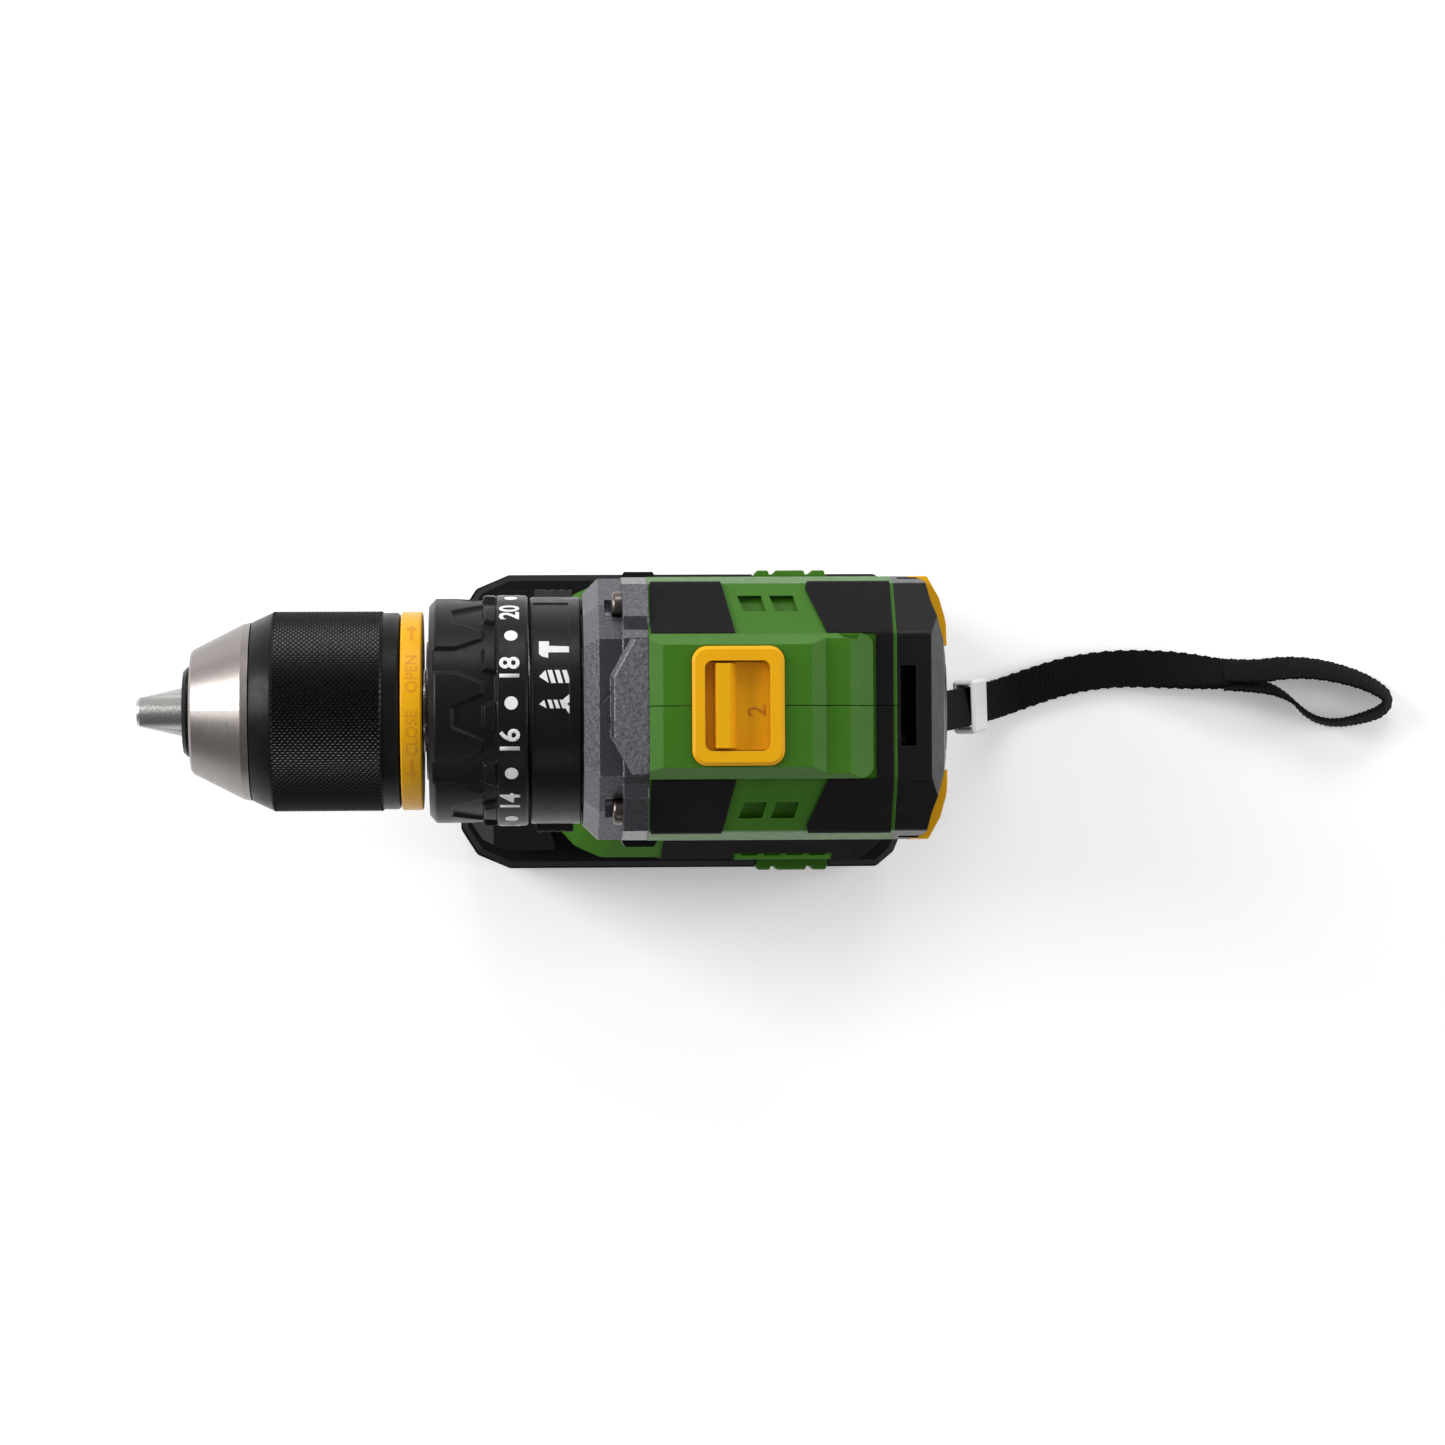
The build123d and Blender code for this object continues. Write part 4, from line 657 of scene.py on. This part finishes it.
def make_torque_numbers():
    """Ten even numbers round the band, with a dot between each pair."""
    x_middle = COLLAR[1].x - 3.95
    drawings = []
    for number in range(10):
        angle = 56.5 - 36.0 * number
        figures = flat_text(str(20 - 2 * number), 4.1, 0.13)
        drawings.append((figures, x_middle, BAND_R - SUNK, angle, 0.07))
        dot = flat_shapes([disc_outline(1.42)])
        drawings.append((dot, x_middle + 0.35, BAND_R - SUNK, angle - 18.0, 0.07))
    wrapped_piece("torque_numbers", drawings, "black_plastic", "torque_collar", WHITE_PRINT)


MODE = limits("mode_collar")
PANEL_R = MODE[1].z - AXIS_Z - 0.27     # just inside the floor of the mode collar's label panel


def make_mode_icons():
    """Three signs on the mode collar: hammer, drill and screw."""
    hammer = [[(-2.1, 1.3), (-1.7, 2.7), (-1.1, 3.25), (2.1, 3.25), (2.1, 1.1), (0.9, 1.1), (-1.0, 1.3)],
              [(-0.75, 1.3), (0.9, 1.1), (0.75, -3.25), (-0.75, -3.25)]]
    drill = [[(0.0, 3.25), (1.45, 1.9), (-1.45, 1.2)]]
    screw = [[(0.0, 3.25), (0.9, 2.2), (-0.9, 1.7)]]
    for number in range(3):
        top = 1.15 - 1.55 * number
        drill.append([(-1.45, top - 0.45), (1.45, top + 0.35), (1.45, top - 0.65), (-1.45, top - 1.45)])
        top = 1.3 - 1.3 * number
        screw.append([(-0.9, top - 0.35), (0.9, top + 0.25), (0.9, top - 0.55), (-0.9, top - 1.15)])
    screw.append([(-0.9, -2.3), (0.9, -1.7), (2.0, -3.0), (2.0, -3.25), (0.5, -3.25), (0.0, -2.6),
                  (-0.5, -3.25), (-2.0, -3.25), (-2.0, -3.0)])
    x_middle = MODE[0].x + 5.1
    drawings = []
    for outlines, angle in ((hammer, 31.0), (drill, 16.0), (screw, 2.0)):
        drawings.append((flat_shapes(outlines), x_middle, PANEL_R, angle, 0.05))
    wrapped_piece("mode_icons", drawings, "black_plastic", "mode_collar", WHITE_PRINT)


REAR_RING = limits("chuck_rear_ring")
RING_R = (REAR_RING[1].y - REAR_RING[0].y) / 2


def make_ring_marks():
    """Raised arrows and words on the yellow ring, for the two ways of turning the sleeve; their darker amber
    is painted shade standing in for the shading of their raised edges.
    """
    x_middle = (REAR_RING[0].x + REAR_RING[1].x) / 2
    arrow = [[(-2.6, 0.0), (-1.0, 1.15), (-1.0, 0.3), (2.4, 0.3), (2.4, -0.3), (-1.0, -0.3), (-1.0, -1.15)]]
    back_arrow = [[(-u, v) for u, v in reversed(arrow[0])]]
    drawings = []
    for side in (0.0, 180.0):
        drawings.append((flat_text("CLOSE", 2.4), x_middle, RING_R, side - 14.0, 0.05))
        drawings.append((flat_shapes(arrow), x_middle, RING_R, side - 36.0, 0.05))
        drawings.append((flat_text("OPEN", 2.4), x_middle, RING_R, side + 21.0, 0.05))
        drawings.append((flat_shapes(back_arrow), x_middle, RING_R, side + 50.0, 0.05))
    wrapped_piece("ring_marks", drawings, "yellow_plastic", "output_stage", RING_PAINTED_SHADE)


SPEED_PLATE_Z = limits("speed_selector")[1].z - 3.5     # top of the slider's plate, under its ridge
SPEED_PLACE = (9.0, -0.9)


def make_speed_number():
    """The figure of the gear that the selector shows, coloured darker amber as painted shade."""
    bm = flat_text("2", 3.6, 0.03)
    thicken(bm, 0.12)
    for vertex in bm.verts:
        u, v, w = vertex.co
        vertex.co = Vector((SPEED_PLACE[0] - v, SPEED_PLACE[1] + u, SPEED_PLATE_Z + w)) * MM
    bmesh.ops.recalc_face_normals(bm, faces=bm.faces)
    new_piece("speed_number", mesh_of(bm, "speed_number"), "yellow_plastic", "speed_selector", SPEED_PAINTED_SHADE)


# ---------------------------------------------------------------- strap
STRAP_WIDTH = 10.0
LAYER = 1.2
SAMPLE = 0.25             # distance between the webbing's cross-sections
RIB_PITCH = 1.25
SCALLOP_PITCH = 3.1
EDGE_GROOVE = 0.30        # depth of the groove between the two layers of the tail
STRAP_ROUTE = [
    (49.5, -1.0, 66.0), (56.5, 0.4, 65.2), (62.3, 1.56, 59.0), (65.6, 2.22, 48.0), (68.4, 2.78, 35.4),
    (72.0, 3.5, 23.0), (77.0, 4.5, 11.6), (84.4, 6.6, 1.6), (93.5, 9.8, 1.5), (102.5, 12.4, 1.5),
    (113.5, 13.9, 1.5), (126.0, 13.6, 2.3), (134.0, 12.9, 3.6), (143.4, 12.0, 5.1),
]
LOOP_ROUTE = [
    (141.4, 13.2, 5.1), (149.5, 12.7, 5.1), (157.0, 13.8, 5.1), (165.0, 13.6, 5.1), (173.0, 11.9, 5.1),
    (179.6, 9.5, 5.1), (184.6, 6.2, 5.1), (183.4, 2.7, 5.1), (177.6, 0.6, 5.1), (170.2, -0.8, 5.1),
    (163.6, 0.9, 5.1), (158.4, 6.4, 5.1), (151.0, 9.4, 5.1), (141.4, 10.8, 5.1),
]


def smooth_line(route):
    """Points, in millimetres, of the smooth curve that a route's points control."""
    curve = bpy.data.curves.new("route", "CURVE")
    curve.dimensions = "3D"
    curve.resolution_u = 24
    spline = curve.splines.new("NURBS")
    spline.points.add(len(route) - 1)
    for point, place in zip(spline.points, route):
        point.co = (*(Vector(place) * MM), 1)
    spline.order_u = 3
    spline.use_endpoint_u = True
    holder = bpy.data.objects.new("route", curve)
    mesh = bpy.data.meshes.new_from_object(holder)
    line = [v.co / MM for v in mesh.vertices]
    bpy.data.objects.remove(holder)
    return line


def evenly_spaced(line, spacing):
    """The same line as points a fixed distance apart."""
    places = [line[0]]
    wanted = spacing
    walked = 0.0
    for a, b in zip(line, line[1:]):
        run = (b - a).length
        while walked + run >= wanted:
            places.append(a.lerp(b, (wanted - walked) / run))
            wanted += spacing
        walked += run
    places.append(line[-1])
    return places


def webbing(name, route, thickness, lean):
    """Woven band along a route: cross ribs, scalloped edges and a lean that changes along it."""
    line = smooth_line(route)
    places = evenly_spaced(line, SAMPLE)
    count = len(places)
    groove = EDGE_GROOVE if thickness > LAYER else 0.0
    points = []
    for number, place in enumerate(places):
        along = (places[min(number + 1, count - 1)] - places[max(number - 1, 0)]).normalized()
        side = along.cross(Vector((0, 0, 1))).normalized()
        up = side.cross(along)
        turn = math.radians(lean(number / (count - 1)))
        across = side * math.cos(turn) + up * math.sin(turn)
        out = up * math.cos(turn) - side * math.sin(turn)
        walked = number * SAMPLE
        rib = math.cos(2 * math.pi * walked / RIB_PITCH)
        scallop = math.cos(2 * math.pi * walked / SCALLOP_PITCH + 1.3 * math.sin(walked / 7))
        half_width = STRAP_WIDTH / 2 - 0.2 + 0.06 * rib + 0.14 * scallop
        half = thickness / 2 - 0.10 + 0.09 * rib
        section = [(half_width - 0.35, half), (half_width, half * 0.55), (half_width - groove, 0),
                   (half_width, -half * 0.55), (half_width - 0.35, -half)]
        section = section + [(0.0, -half)] + [(-u, w) for u, w in reversed(section)] + [(0.0, half)]
        for u, w in section:
            points.append(place + across * u + out * w)
    mesh = solid_mesh(name, points, tube_faces(len(points), len(points) // count), 40)
    piece = new_piece(name, mesh, "webbing", "drill_body")
    length = sum((b - a).length for a, b in zip(line, line[1:]))
    return piece, line, length


def tail_lean(share):
    """The tail lies flat, and rolls over towards the loop along its last fifth."""
    return 50 * max(0.0, (share - 0.8) / 0.2) ** 1.5


def loop_lean(share):
    """The loop leaves as the tail lies, stands up round its far end and comes back leaning the other way."""
    return 52 + 74 * share - 20 * math.sin(math.pi * share)


def make_strap():
    """Doubled tail out of the foot, through the grey clip, and the open loop at its end."""
    tail, line, length = webbing("strap_webbing", STRAP_ROUTE, 2 * LAYER, tail_lean)
    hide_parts("strap_tail")
    loop, line, length = webbing("loop_webbing", LOOP_ROUTE, LAYER, loop_lean)
    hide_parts("strap_loop")


# ---------------------------------------------------------------- clutch spring
def make_clutch_spring():
    """The spring as a piece of its own, a copy of the CAD node, which is hidden."""
    solid = NODES["clutch_spring"]
    mesh = solid.data.copy()
    mesh.transform(solid.matrix_world)
    spring = bpy.data.objects.new("spring_wire", mesh)
    bpy.context.collection.objects.link(spring)
    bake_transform(spring)
    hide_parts("clutch_spring")


# ---------------------------------------------------------------- tongue in the handle's seam
# height, and the x of the handle's back there
HANDLE_BACK = [(67.0, 46.6), (76.0, 43.2), (84.0, 41.0), (94.0, 39.5), (104.0, 38.5), (128.0, 37.0),
               (149.0, 37.0)]
TONGUE_HALF = 0.05


def make_seam_tongue():
    """Thin tongue inside the wall of the handle's back, which narrows the slit between the housing halves."""
    points = []
    for height, back in HANDLE_BACK:
        for x, y in ((back - 2.1, -1), (back - 0.9, -1), (back - 0.9, 1), (back - 2.1, 1)):
            points.append(Vector((x, y * TONGUE_HALF, height)))
    mesh = solid_mesh("seam_tongue", points, tube_faces(len(points), 4))
    new_piece("seam_tongue", mesh, SLOT_OF["housing_left"], "drill_body")


make_strap()
make_clutch_spring()
make_seam_tongue()
make_sleeve()
make_knurl()
make_torque_collar()
make_torque_numbers()
make_mode_icons()
make_ring_marks()
make_speed_number()
